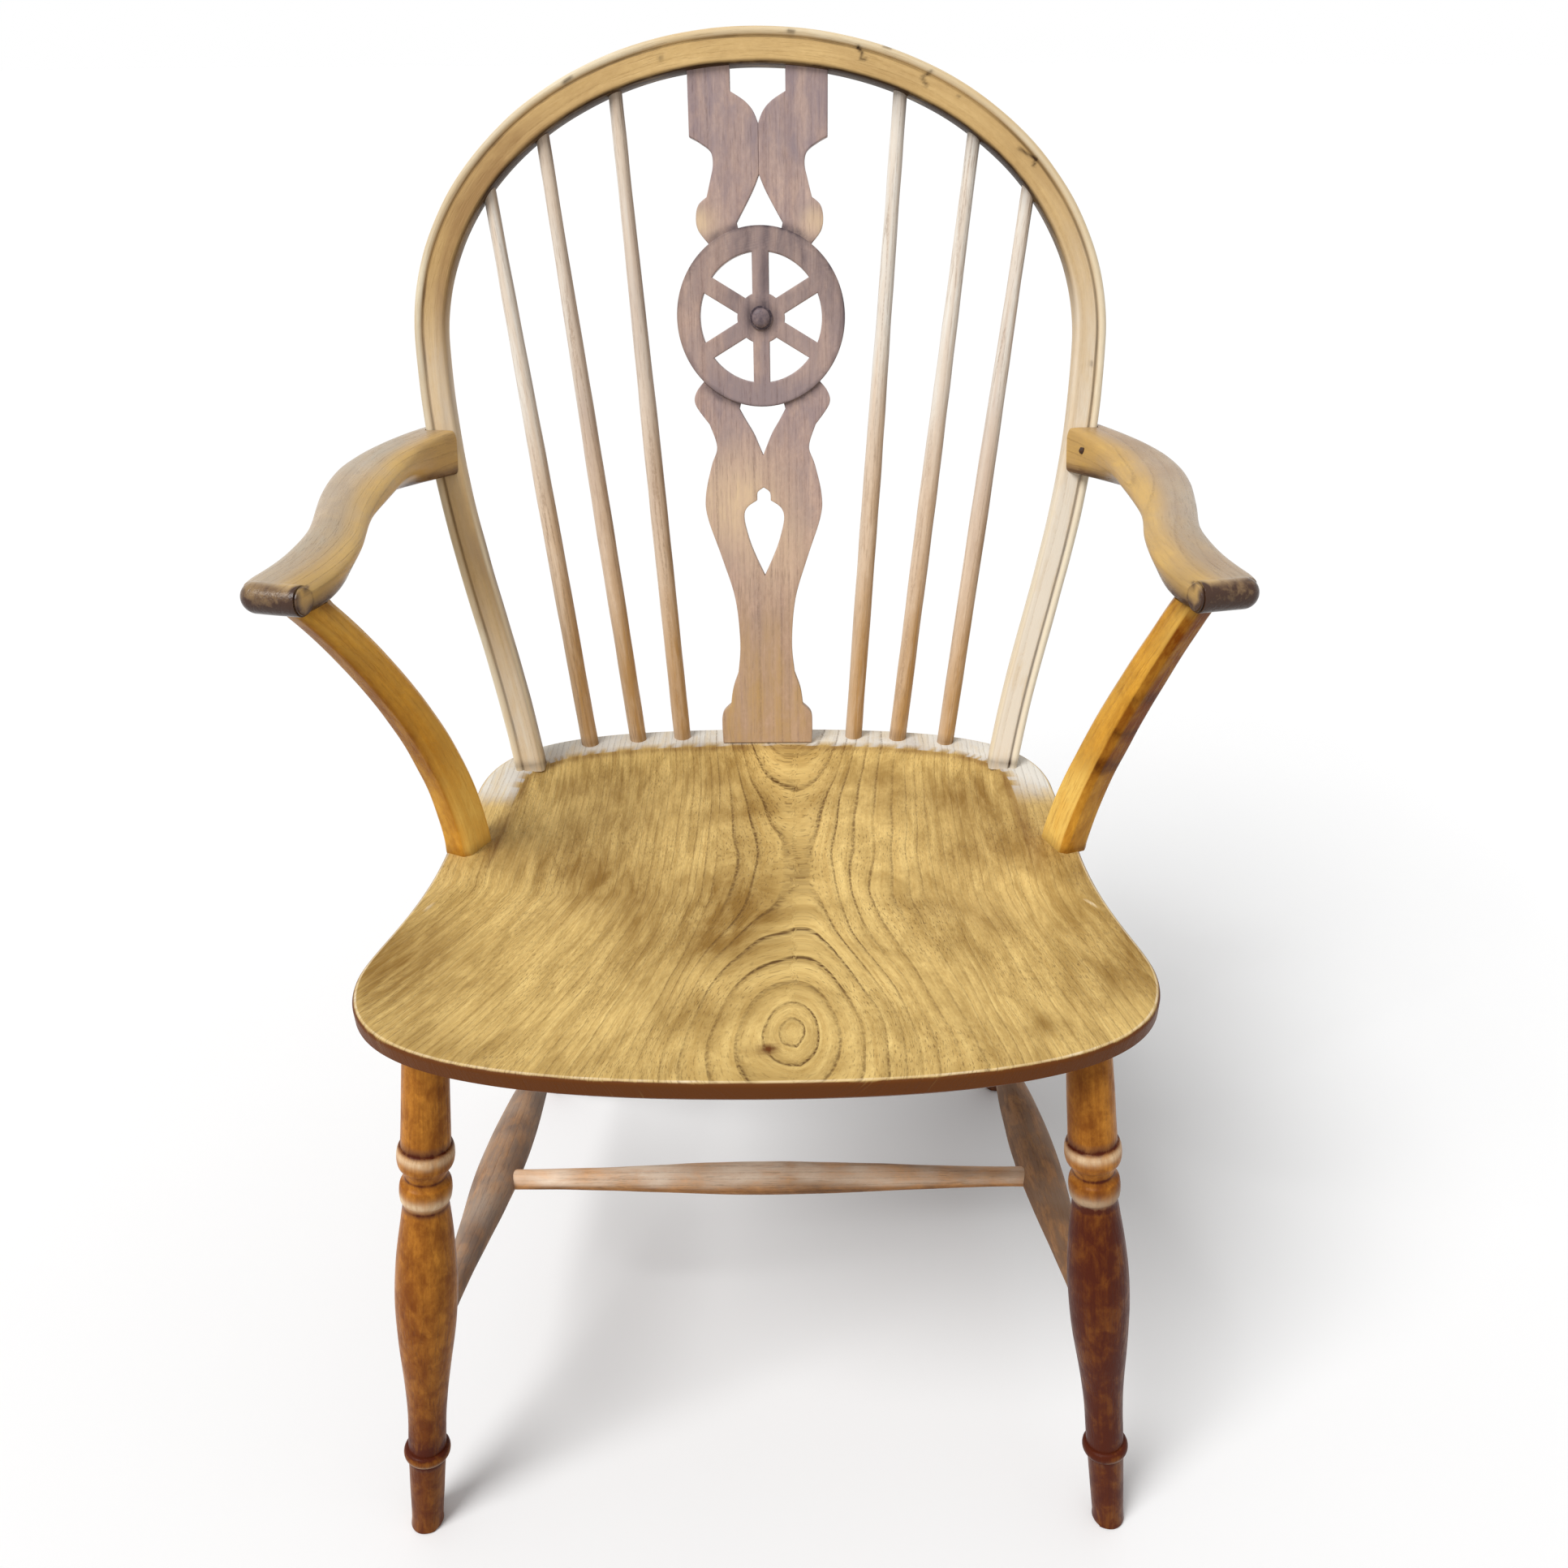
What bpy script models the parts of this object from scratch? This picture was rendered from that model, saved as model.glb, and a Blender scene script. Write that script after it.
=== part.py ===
"""A wheel-back Windsor armchair: saddled seat, bent bow, pierced splat, sticks, sawn arms and turned legs.

Metres, +Z up. The sitter faces -Y. X is zero on the middle line and Y is zero at the front of the seat
while the pieces are made; at the end everything moves so that the origin is under the middle of the chair.
"""

import math

import bmesh
import bpy
from mathutils import Vector

for old in list(bpy.data.objects):
    bpy.data.objects.remove(old, do_unlink=True)

# Gap left between pieces that touch
CLEARANCE = 0.0003

# Seat board
SEAT_HEIGHT = 0.439
SEAT_THICK = 0.038
SEAT_WIDTH = 0.492
SEAT_DEPTH = 0.434
SEAT_WIDEST_Y = 0.098
SEAT_WAIST_IN = 0.0215
SEAT_WAIST_Y = 0.245
SEAT_REAR_IN = 0.0255
SEAT_REAR_FROM_BACK = 0.104
SEAT_EDGE = 0.011
SEAT_FRONT_UNDERCUT = 0.030
SEAT_UNDERCUT = 0.012
SEAT_ARRIS = 0.003
SEAT_RIM = 0.007
SEAT_LEDGE = 0.031
SEAT_LEDGE_FROM_Y = 0.165
SEAT_LEDGE_FULL_Y = 0.225
DISH_DEPTH = 0.009
DISH_CENTRE_Y = 0.225
RIDGE_HEIGHT = 0.006
RIDGE_WIDTH = 0.045

# Bow: sizes in the plane of its lean, measured on the middle of the section.
# Its feet stand in from the rear of the seat and its sides stand in from the seat's widest place.
BOW_LEAN = math.radians(15.0)
BOW_FOOT_IN = 0.034
BOW_FOOT_FROM_BACK = 0.063
BOW_SPLAY = math.radians(8.3)
BOW_SIDE_IN = 0.0095
BOW_SPAN_HEIGHT = 0.312
BOW_RISE = 0.4995
BOW_FACE = 0.0228
BOW_DEPTH = 0.0195
BOW_BEAD = 0.0068
BOW_GROOVE = 0.0014
BOW_CHAMFER = 0.0025
BOW_BACK_ROUND = 0.005
BOW_TENON_R = 0.0085
BOW_TENON_ROOT = 0.012
WEDGE_LONG = 0.022
WEDGE_WIDE = 0.0150
WEDGE_THICK = 0.0030
WEDGE_TIP = 0.0008

# Sticks
STICK_SEAT_X = (0.0705, 0.1065, 0.145)
STICK_BOW_X = (0.0985, 0.1505, 0.190)
STICK_EDGE = 0.0125
STICK_SINK = 0.013
STICK_R = 0.0072
STICK_TOP_R = 0.0052
STICK_TAPER_FROM = 0.160
STICK_TOP_LONG = 0.023

# Splat
SPLAT_FROM_BACK = 0.0235
SPLAT_THICK = 0.0085
SPLAT_SINK = 0.012
SPLAT_TENON = 0.058
SPLAT_TENON_THICK = 0.0068
SPLAT_INSERT = 0.008
WHEEL_HEIGHT = 0.3205
WHEEL_R = 0.0608
WHEEL_THICK = 0.0115
WHEEL_RIM_R = 0.0442
WHEEL_SPOKES = 6
WHEEL_SPOKE = 0.012
WHEEL_HUB_R = 0.0172
BOSS_R = 0.0083
BOSS_RIM = 0.0015
BOSS_STEP = 0.0007
BOSS_DOME_R = 0.0066
BOSS_DOME = 0.0030
BOSS_STEM_R = 0.0035
BOSS_STEM = 0.006
KERF_WIDTH = 0.0016
KERF_DEPTH = 0.0016
KERF_LOW = 0.400
KERF_HIGH = 0.452

# Arms: forward and outward distances from the middle of the bow's front face
ARM_OVER_SEAT = 0.216
ARM_TAIL = 0.012
ARM_ELBOW = 0.075
ARM_ELBOW_OUT = 0.0345
ARM_NARROW = 0.168
ARM_WAIST = 0.205
ARM_WAIST_OUT = 0.0215
ARM_HAND = 0.262
ARM_LENGTH = 0.284
ARM_HAND_OUT = 0.0355
ARM_TAIL_WIDTH = 0.037
ARM_ELBOW_WIDTH = 0.0455
ARM_NARROW_WIDTH = 0.0345
ARM_HAND_WIDTH = 0.0425
ARM_TIP_WIDTH = 0.0355
ARM_TAIL_THICK = 0.031
ARM_ELBOW_THICK = 0.027
ARM_NARROW_THICK = 0.025
ARM_HAND_THICK = 0.0185
ARM_ELBOW_UNDERCUT = 0.025
ARM_NARROW_UNDERCUT = 0.015
ARM_ROUND = 0.006
ARM_INNER_ROUND = 0.0042
ARM_NOTCH_OPEN = 0.008
ROLL_R = 0.0095
ROLL_STAND = 0.002
ROLL_EASE = 0.0008

# Posts under the arms
POST_FOOT_Y = 0.2525
POST_FOOT_EDGE_LEFT = 0.0135
POST_FOOT_EDGE_RIGHT = 0.009
POST_TOP_REACH = 0.262
POST_TOP_INSET_LEFT = 0.0095
POST_TOP_INSET_RIGHT = 0.0105
POST_FOOT_DEEP = 0.032
POST_FOOT_WIDE = 0.024
POST_TOP_DEEP = 0.022
POST_TOP_WIDE = 0.019
POST_CHAMFER = 0.0045
POST_BEND_LEFT = 1.75
POST_BEND_RIGHT = 1.3
POST_TENON_R = 0.0075
POST_TENON = 0.014
POST_TENON_ROOT = 0.010

# Legs: where the axis meets the underside of the seat, and its splay out and back from there to the floor
FRONT_LEG_IN = 0.0435
FRONT_LEG_FROM_FRONT = 0.067
FRONT_LEG_SPLAY = (0.0489, -0.0535)
BACK_LEG_IN = 0.096
BACK_LEG_FROM_BACK = 0.116
BACK_LEG_SPLAY = (0.078, 0.164)
LEG_SOCKET = 0.021
LEG_TOP_R = 0.0145
LEG_SHAFT_R = 0.0160
LEG_BEAD_R = 0.0185
LEG_BEAD_AT = 0.3355
LEG_BEAD_LONG = 0.017
LEG_NECK_R = 0.0135
LEG_NECK_AT = 0.3195
LEG_COLLAR_R = 0.0170
LEG_COLLAR_AT = 0.308
LEG_COLLAR_LONG = 0.015
LEG_COLLAR_BASE_R = 0.0156
LEG_VASE_TOP_R = 0.0150
LEG_VASE_TOP = 0.297
LEG_VASE_R = 0.0208
LEG_VASE_AT = 0.220
LEG_ANKLE_R = 0.0135
LEG_ANKLE_AT = 0.100
LEG_RING_R = 0.0165
LEG_RING_AT = 0.0745
LEG_RING_LONG = 0.010
LEG_FOOT_R = 0.0134
LEG_TIP_R = 0.0115
LEG_FOOT_ROUND = 0.0016

# Stretchers
SIDE_FRONT_HEIGHT = 0.165
SIDE_BACK_HEIGHT = 0.141
SIDE_R = 0.0180
SIDE_END_R = 0.0088
SIDE_STOP = 0.003
CROSS_Y = 0.2026
CROSS_R = 0.0135
CROSS_END_R = 0.0085
CROSS_STOP = 0.006

# Metal fixings
SCREW_R = 0.0024
SCREW_HEAD_R = 0.0045
SCREW_HEAD = 0.003
SCREW_BITE = 0.008
SCREW_UP = 0.0065
SCREW_OUT = 0.004
SCREW_POINT_R = 0.0008
NAIL_R = 0.0016
NAIL_LONG = 0.024
NAIL_SUNK = 0.0012
NAIL_FORWARD = 0.008
NAIL_UP = 0.019
NAIL_POINT_R = 0.0005

# Facets
LEG_SIDES = 16
STICK_SIDES = 12
WHEEL_SIDES = 48
SMOOTH = math.radians(40)
BOARD_SMOOTH = math.radians(30)
SEAT_SMOOTH = math.radians(25)

# Steps along the curves
SEAT_FRONT_STEPS = 9
SEAT_SIDE_STEPS = 6
SEAT_BACK_STEPS = 10
BOW_LEG_STEPS = 8
BOW_CROWN_STEPS = 18
ARM_STEPS = 6
BEAD_STEPS = 4
WINDOW_RIM_STEPS = 6
WINDOW_HUB_STEPS = 2

# Nearest that two different points can be
NEAR = 1e-6

# Share of its radius that a rounded corner stands back from the square one
ROUND_CUT = 1 - math.cos(math.pi / 4)

# Places that follow from the sizes above
SEAT_SIDE_X = SEAT_WIDTH / 2
SEAT_WAIST_X = SEAT_SIDE_X - SEAT_WAIST_IN
SEAT_REAR_X = SEAT_SIDE_X - SEAT_REAR_IN
SEAT_REAR_Y = SEAT_DEPTH - SEAT_REAR_FROM_BACK
BOW_FOOT_X = SEAT_REAR_X - BOW_FOOT_IN
BOW_FOOT_Y = SEAT_DEPTH - BOW_FOOT_FROM_BACK
BOW_SIDE_X = SEAT_SIDE_X - BOW_SIDE_IN
SPLAT_Y = SEAT_DEPTH - SPLAT_FROM_BACK
ARM_UNDER = SEAT_HEIGHT + ARM_OVER_SEAT
FRONT_LEG_TOP = Vector((SEAT_SIDE_X - FRONT_LEG_IN, FRONT_LEG_FROM_FRONT))
FRONT_LEG_FOOT = FRONT_LEG_TOP + Vector(FRONT_LEG_SPLAY)
BACK_LEG_TOP = Vector((SEAT_SIDE_X - BACK_LEG_IN, SEAT_DEPTH - BACK_LEG_FROM_BACK))
BACK_LEG_FOOT = BACK_LEG_TOP + Vector(BACK_LEG_SPLAY)

LEFT, RIGHT = -1, 1
SIDES = ((LEFT, "left"), (RIGHT, "right"))

# Colours, with roughness
ELM = ((0.40, 0.24, 0.085), 0.42)
PALE_ASH = ((0.50, 0.34, 0.15), 0.45)
GREY_ASH = ((0.42, 0.30, 0.19), 0.50)
FRUITWOOD = ((0.27, 0.15, 0.085), 0.45)
ARM_WOOD = ((0.36, 0.24, 0.12), 0.40)
AMBER = ((0.50, 0.24, 0.05), 0.35)
RED_BROWN = ((0.30, 0.12, 0.04), 0.35)
DUSTY = ((0.32, 0.21, 0.13), 0.55)
IRON = ((0.09, 0.07, 0.06), 0.60)


chair = bpy.data.objects.new("chair", None)
bpy.context.scene.collection.objects.link(chair)


def piece(name, verts, faces, finish=None, smooth=SMOOTH):
    """A mesh object under the chair. Without a finish it is a cutter, left out of renders."""
    mesh = bpy.data.meshes.new(name)
    mesh.from_pydata([tuple(v) for v in verts], [], faces)
    shape = bmesh.new()
    shape.from_mesh(mesh)
    bmesh.ops.recalc_face_normals(shape, faces=shape.faces)
    shape.to_mesh(mesh)
    shape.free()
    mesh.shade_smooth()
    mesh.set_sharp_from_angle(angle=smooth)
    obj = bpy.data.objects.new(name, mesh)
    obj.parent = chair
    bpy.context.scene.collection.objects.link(obj)
    if finish is None:
        obj.hide_render = True
        obj.display_type = "WIRE"
        return obj
    colour, roughness = finish
    material = bpy.data.materials.new(name)
    material.use_nodes = True
    shader = material.node_tree.nodes["Principled BSDF"]
    shader.inputs["Base Color"].default_value = (*colour, 1)
    shader.inputs["Roughness"].default_value = roughness
    shader.inputs["Metallic"].default_value = 1.0 if finish is IRON else 0.0
    mesh.materials.append(material)
    return obj


def combine(target, tool, operation):
    modifier = target.modifiers.new(f"{operation.lower()} {tool.name}", "BOOLEAN")
    modifier.operation = operation
    modifier.solver = "EXACT"
    modifier.object = tool


def cut(target, tool):
    combine(target, tool, "DIFFERENCE")


def join(target, tool):
    combine(target, tool, "UNION")


def trim(obj, point, normal, bevel=0.0):
    """Cut the mesh off flat on the side that the normal points to, and ease the new edge."""
    shape = bmesh.new()
    shape.from_mesh(obj.data)
    everything = shape.verts[:] + shape.edges[:] + shape.faces[:]
    result = bmesh.ops.bisect_plane(
        shape, geom=everything, dist=NEAR, plane_co=point, plane_no=normal, clear_outer=True
    )
    rim = [item for item in result["geom_cut"] if isinstance(item, bmesh.types.BMEdge)]
    bmesh.ops.edgeloop_fill(shape, edges=rim)
    if bevel:
        bmesh.ops.bevel(shape, geom=rim, offset=bevel, segments=2, profile=0.5, affect="EDGES")
    bmesh.ops.recalc_face_normals(shape, faces=shape.faces)
    shape.to_mesh(obj.data)
    shape.free()
    obj.data.shade_smooth()
    obj.data.set_sharp_from_angle(angle=SMOOTH)


def bezier(points, steps):
    """Points along a cubic curve, leaving out its end."""
    a, b, c, d = (Vector(p) for p in points)
    found = []
    for i in range(steps):
        t = i / steps
        u = 1 - t
        found.append(a * u**3 + b * (3 * t * u * u) + c * (3 * t * t * u) + d * t**3)
    return found


def through(points, steps):
    """A smooth curve through all the points, with both ends."""
    points = [Vector(p) for p in points]
    found = []
    for i in range(len(points) - 1):
        before = points[max(i - 1, 0)]
        after = points[min(i + 2, len(points) - 1)]
        start, end = points[i], points[i + 1]
        handles = (start, start + (end - before) / 6, end - (after - start) / 6, end)
        found += bezier(handles, steps)
    return found + [points[-1]]


def ease(t):
    t = min(max(t, 0.0), 1.0)
    return (1 - math.cos(math.pi * t)) / 2


def blend(place, stops):
    """Value at a place between stops, each a pair of place and value, with level ends."""
    if place <= stops[0][0]:
        return stops[0][1]
    for (a, first), (b, second) in zip(stops, stops[1:]):
        if place <= b:
            return first + (second - first) * ease((place - a) / (b - a))
    return stops[-1][1]


def crossing(pairs, place):
    """Value where a run of pairs, each a value and a rising place, reaches the place."""
    for (first, a), (second, b) in zip(pairs, pairs[1:]):
        if a <= place <= b:
            return first + (second - first) * (place - a) / (b - a)
    return pairs[0][0] if place < pairs[0][1] else pairs[-1][0]


def rings(name, loops, finish=None, smooth=SMOOTH):
    """A closed shape from loops of equal length, capped at both ends."""
    count = len(loops[0])
    verts = [v for loop in loops for v in loop]
    faces = [tuple(range(count)), tuple(range(len(verts) - count, len(verts)))]
    for k in range(len(loops) - 1):
        for i in range(count):
            j = (i + 1) % count
            a, b = k * count, (k + 1) * count
            faces.append((a + i, a + j, b + j, b + i))
    return piece(name, verts, faces, finish, smooth)


def turned(name, start, end, profile, finish=None, sides=LEG_SIDES, grow=0.0):
    """A round piece on the line from start to end: the profile is distance from start and radius."""
    start, end = Vector(start), Vector(end)
    axis = (end - start).normalized()
    level = Vector((0, 1, 0)) if abs(axis.y) < abs(axis.z) else Vector((0, 0, 1))
    across = axis.cross(level).normalized()
    third = axis.cross(across)
    loops = []
    last = len(profile) - 1
    for k, (along, radius) in enumerate(profile):
        along += grow if k == last else -grow if k == 0 else 0.0
        loop = []
        for i in range(sides):
            turn = 2 * math.pi * (i + 0.5) / sides
            spoke = across * math.cos(turn) + third * math.sin(turn)
            loop.append(start + axis * along + spoke * (radius + grow))
        loops.append(loop)
    return rings(name, loops, finish)


def rod(name, start, end, radius, finish=None, sides=STICK_SIDES, grow=0.0):
    length = (Vector(end) - Vector(start)).length
    return turned(name, start, end, ((0, radius), (length, radius)), finish, sides, grow)


def swept(name, path, level, sections, finish=None, planes=(None, None)):
    """A shape along a path. Sections are pairs: out to the right of the path, and along level.

    A plane, given as a height, cuts that end of the path level with the floor.
    """
    loops = []
    for k, point in enumerate(path):
        ahead = path[min(k + 1, len(path) - 1)] - path[max(k - 1, 0)]
        ahead.normalize()
        right = ahead.cross(level).normalized()
        loop = [point + right * a + level * b for a, b in sections[k]]
        height = planes[0] if k == 0 else planes[1] if k == len(path) - 1 else None
        if height is not None:
            loop = [v + ahead * ((height - v.z) / ahead.z) for v in loop]
        loops.append(loop)
    return rings(name, loops, finish)


def plate(name, outline, frame, thick, finish=None):
    """A flat board: the outline is in the frame's two directions, the thickness is centred on it."""
    loops = [[frame(a, b, side * thick / 2) for a, b in outline] for side in (LEFT, RIGHT)]
    return rings(name, loops, finish, BOARD_SMOOTH)


def mirrored(half):
    """A closed outline from its right half, which runs from the top down."""
    return half + [Vector((-p[0], p[1])) for p in reversed(half) if abs(p[0]) > NEAR]


# Seat outline, right half, front middle to back middle
SEAT_FRONT_PULL = 0.177
SEAT_CORNER_PULL = 0.066
SEAT_SIDE_PULL = 0.028
SEAT_WAIST_PULL = 0.080
SEAT_REAR_PULL = 0.082
SEAT_BACK_PULL = 0.155


def seat_half():
    front, widest = Vector((0, 0)), Vector((SEAT_SIDE_X, SEAT_WIDEST_Y))
    waist = Vector((SEAT_WAIST_X, SEAT_WAIST_Y))
    rear, back = Vector((SEAT_REAR_X, SEAT_REAR_Y)), Vector((0, SEAT_DEPTH))
    across, along = Vector((1, 0)), Vector((0, 1))
    front_pulls = (front + across * SEAT_FRONT_PULL, widest - along * SEAT_CORNER_PULL)
    side_pulls = (widest + along * SEAT_SIDE_PULL, waist - along * SEAT_WAIST_PULL)
    back_pulls = (rear + along * SEAT_REAR_PULL, back + across * SEAT_BACK_PULL)
    points = bezier((front, *front_pulls, widest), SEAT_FRONT_STEPS)
    points += bezier((widest, *side_pulls, waist), SEAT_SIDE_STEPS)
    points += [waist, (waist + rear) / 2]
    points += bezier((rear, *back_pulls, back), SEAT_BACK_STEPS)
    return points + [back]


SEAT_HALF = seat_half()


def seat_edge_x(y):
    """Half width of the seat at y, behind its widest place."""
    return crossing([(p.x, p.y) for p in SEAT_HALF if p.y >= SEAT_WIDEST_Y], y)


def seat_edge_y(x):
    """How far back the seat reaches at x, behind its waist."""
    return crossing([(p.y, p.x) for p in reversed(SEAT_HALF) if p.y >= SEAT_REAR_Y], x)


DISH_STEPS = (0.96, 0.90, 0.80, 0.65, 0.45, 0.22)
FRONT_SLOPE = 2.2
BACK_SLOPE = 8.0


def make_seat():
    outline = [Vector((p.x, p.y)) for p in SEAT_HALF]
    outline += [Vector((-p.x, p.y)) for p in reversed(SEAT_HALF[1:-1])]
    count = len(outline)
    inward = []
    for i in range(count):
        along = outline[(i + 1) % count] - outline[i - 1]
        inward.append(Vector((-along.y, along.x)).normalized())

    def loop(inset, z):
        return [Vector((*(p + n * inset), z)) for p, n in zip(outline, inward)]

    top = SEAT_HEIGHT
    undercut = ((SEAT_WIDEST_Y, SEAT_FRONT_UNDERCUT), (SEAT_WAIST_Y, SEAT_UNDERCUT))
    under = []
    for p, n in zip(outline, inward):
        under.append(Vector((*(p + n * blend(p.y, undercut)), top - SEAT_THICK)))
    loops = [
        under,
        loop(0.0, top - SEAT_EDGE),
        loop(0.0, top - SEAT_ARRIS),
        loop(SEAT_ARRIS * ROUND_CUT, top - SEAT_ARRIS * ROUND_CUT),
        loop(SEAT_ARRIS, top),
    ]
    centre = Vector((0, DISH_CENTRE_Y))
    shores, slopes = [], []
    ledge = ((SEAT_LEDGE_FROM_Y, SEAT_RIM), (SEAT_LEDGE_FULL_Y, SEAT_LEDGE))
    for p, n in zip(outline, inward):
        shores.append(p + n * blend(p.y, ledge))
        slopes.append(blend(p.y, ((SEAT_WIDEST_Y, FRONT_SLOPE), (SEAT_WAIST_Y, BACK_SLOPE))))
    loops.append([Vector((*p, top)) for p in shores])
    for share in DISH_STEPS:
        ring = []
        for shore, slope in zip(shores, slopes):
            p = centre + (shore - centre) * share
            hollow = 1 - share**slope
            ridge = math.exp(-((p.x / RIDGE_WIDTH) ** 2)) * (1 - ease(p.y / DISH_CENTRE_Y))
            ring.append(Vector((*p, top - hollow * (DISH_DEPTH - RIDGE_HEIGHT * ridge))))
        loops.append(ring)
    return rings("seat", loops, ELM, SEAT_SMOOTH)


# Bow: points in the plane of its lean
BOW_FOOT_PULL = 0.121
BOW_SIDE_PULL = 0.127
BOW_SHOULDER_PULL = 0.101
BOW_CROWN_PULL = 0.1355
BOW_UP = Vector((0, math.sin(BOW_LEAN), math.cos(BOW_LEAN)))
BOW_FRONT = Vector((0, -math.cos(BOW_LEAN), math.sin(BOW_LEAN)))


def bow_half():
    """Right half of the bow's middle line, foot to crown, as distance from the middle and height."""
    foot = Vector((BOW_FOOT_X, 0))
    leg = Vector((math.sin(BOW_SPLAY), math.cos(BOW_SPLAY)))
    side, crown = Vector((BOW_SIDE_X, BOW_SPAN_HEIGHT)), Vector((0, BOW_RISE))
    across, up = Vector((1, 0)), Vector((0, 1))
    leg_pulls = (foot + leg * BOW_FOOT_PULL, side - up * BOW_SIDE_PULL)
    crown_pulls = (side + up * BOW_SHOULDER_PULL, crown + across * BOW_CROWN_PULL)
    points = bezier((foot, *leg_pulls, side), BOW_LEG_STEPS)
    points += bezier((side, *crown_pulls, crown), BOW_CROWN_STEPS)
    return points + [crown]


BOW_HALF = bow_half()


def in_bow(x, up, front=0.0):
    return Vector((x, BOW_FOOT_Y, SEAT_HEIGHT)) + BOW_UP * up + BOW_FRONT * front


def bow_at_height(z):
    """Point of the bow's right leg at a height above the floor."""
    up = (z - SEAT_HEIGHT) / math.cos(BOW_LEAN)
    return in_bow(crossing(BOW_HALF, up), up)


def bow_at_x(x):
    """Point of the bow's right shoulder or crown at a distance from the middle."""
    run = [(p.y, p.x) for p in reversed(BOW_HALF) if p.y >= BOW_SPAN_HEIGHT]
    return in_bow(x, crossing(run, x))


BEAD_TURNS = (140, 100, 60, 20)


def bow_section():
    """Out from the bow's middle, and to the back: beaded front edge, eased front arris, rounded back."""
    w, d, r = BOW_FACE / 2, BOW_DEPTH / 2, BOW_BACK_ROUND
    bead = BOW_BEAD / 2
    front = [(-w, -d + BOW_CHAMFER), (-w + BOW_CHAMFER, -d), (w - BOW_BEAD - BOW_GROOVE, -d)]
    front.append((w - BOW_BEAD, -d + BOW_GROOVE))
    for turn in BEAD_TURNS:
        angle = math.radians(turn)
        front.append((w - bead + bead * math.cos(angle), -d + bead - bead * math.sin(angle)))
    k = r * ROUND_CUT
    back = [(w, d - r), (w - k, d - k), (w - r, d)]
    back += [(-w + r, d), (-w + k, d - k), (-w, d - r)]
    return front + back


def bow_path():
    """The bow's whole middle line, left foot to right foot."""
    left = [Vector((-p.x, p.y)) for p in BOW_HALF[:-1]]
    return [in_bow(*p) for p in left + BOW_HALF[::-1]]


def bow_tenon_line(side):
    """Root and tip of a foot's tenon, along the line of the bow's leg."""
    foot = in_bow(side * BOW_FOOT_X, 0)
    leg = (in_bow(side * math.sin(BOW_SPLAY), math.cos(BOW_SPLAY)) - in_bow(0, 0)).normalized()
    return foot + leg * BOW_TENON_ROOT, foot - leg * (SEAT_THICK / leg.z), leg


def make_bow():
    path = bow_path()
    shoulder = SEAT_HEIGHT + CLEARANCE
    bow = swept(
        "bow", path, -BOW_FRONT, [bow_section()] * len(path), PALE_ASH, (shoulder, shoulder)
    )
    underside = SEAT_HEIGHT - SEAT_THICK
    for side, word in SIDES:
        root, tip, leg = bow_tenon_line(side)
        below = tip - leg * BOW_TENON_R
        tenon = rod(f"bow_tenon_{word}", root, below, BOW_TENON_R, sides=LEG_SIDES)
        trim(tenon, (0, 0, underside), (0, 0, -1))
        join(bow, tenon)
    return bow


def wedge(name, side, wide, finish=None, grow=0.0):
    """A thin wedge in the end of a bow tenon, run on below the seat."""
    _, tip, leg = bow_tenon_line(side)
    across = leg.cross(BOW_FRONT).normalized()
    third = leg.cross(across)
    taper = (WEDGE_THICK - WEDGE_TIP) / WEDGE_LONG
    half = wide / 2
    loops = []
    for along in (-BOW_TENON_R, WEDGE_LONG + grow):
        t = (WEDGE_THICK - taper * along) / 2 + grow
        corners = ((-t, -half), (t, -half), (t, half), (-t, half))
        loops.append([tip + leg * along + across * a + third * b for a, b in corners])
    return rings(name, loops, finish)


def make_wedges(bow):
    for side, word in SIDES:
        made = wedge(f"bow_wedge_{word}", side, WEDGE_WIDE, GREY_ASH)
        trim(made, (0, 0, SEAT_HEIGHT - SEAT_THICK), (0, 0, -1))
        cut(bow, wedge(f"bow_kerf_{word}", side, 2 * BOW_TENON_R + WEDGE_WIDE, grow=CLEARANCE))


# Sticks
STICK_TAPER_STEPS = (0, 0.4, 0.75, 1)


def make_sticks(seat, bow):
    for side, word in SIDES:
        for k, (low, high) in enumerate(zip(STICK_SEAT_X, STICK_BOW_X), 1):
            foot = Vector((side * low, seat_edge_y(low) - STICK_EDGE, SEAT_HEIGHT))
            head = bow_at_x(high)
            head.x *= side
            axis = (head - foot).normalized()
            foot -= axis * STICK_SINK
            length = (head - foot).length
            taper = ((STICK_TAPER_FROM, STICK_R), (length - STICK_TOP_LONG, STICK_TOP_R))
            profile = [(0, STICK_R)]
            for share in STICK_TAPER_STEPS:
                along = taper[0][0] + (taper[1][0] - taper[0][0]) * share
                profile.append((along, blend(along, taper)))
            profile.append((length, STICK_TOP_R))
            name = f"spindle_{word}_{k}"
            turned(name, foot, head, profile, GREY_ASH, STICK_SIDES)
            socket = turned(f"{name}_socket", foot, head, profile, None, STICK_SIDES, CLEARANCE)
            cut(seat, socket)
            cut(bow, socket)


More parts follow.
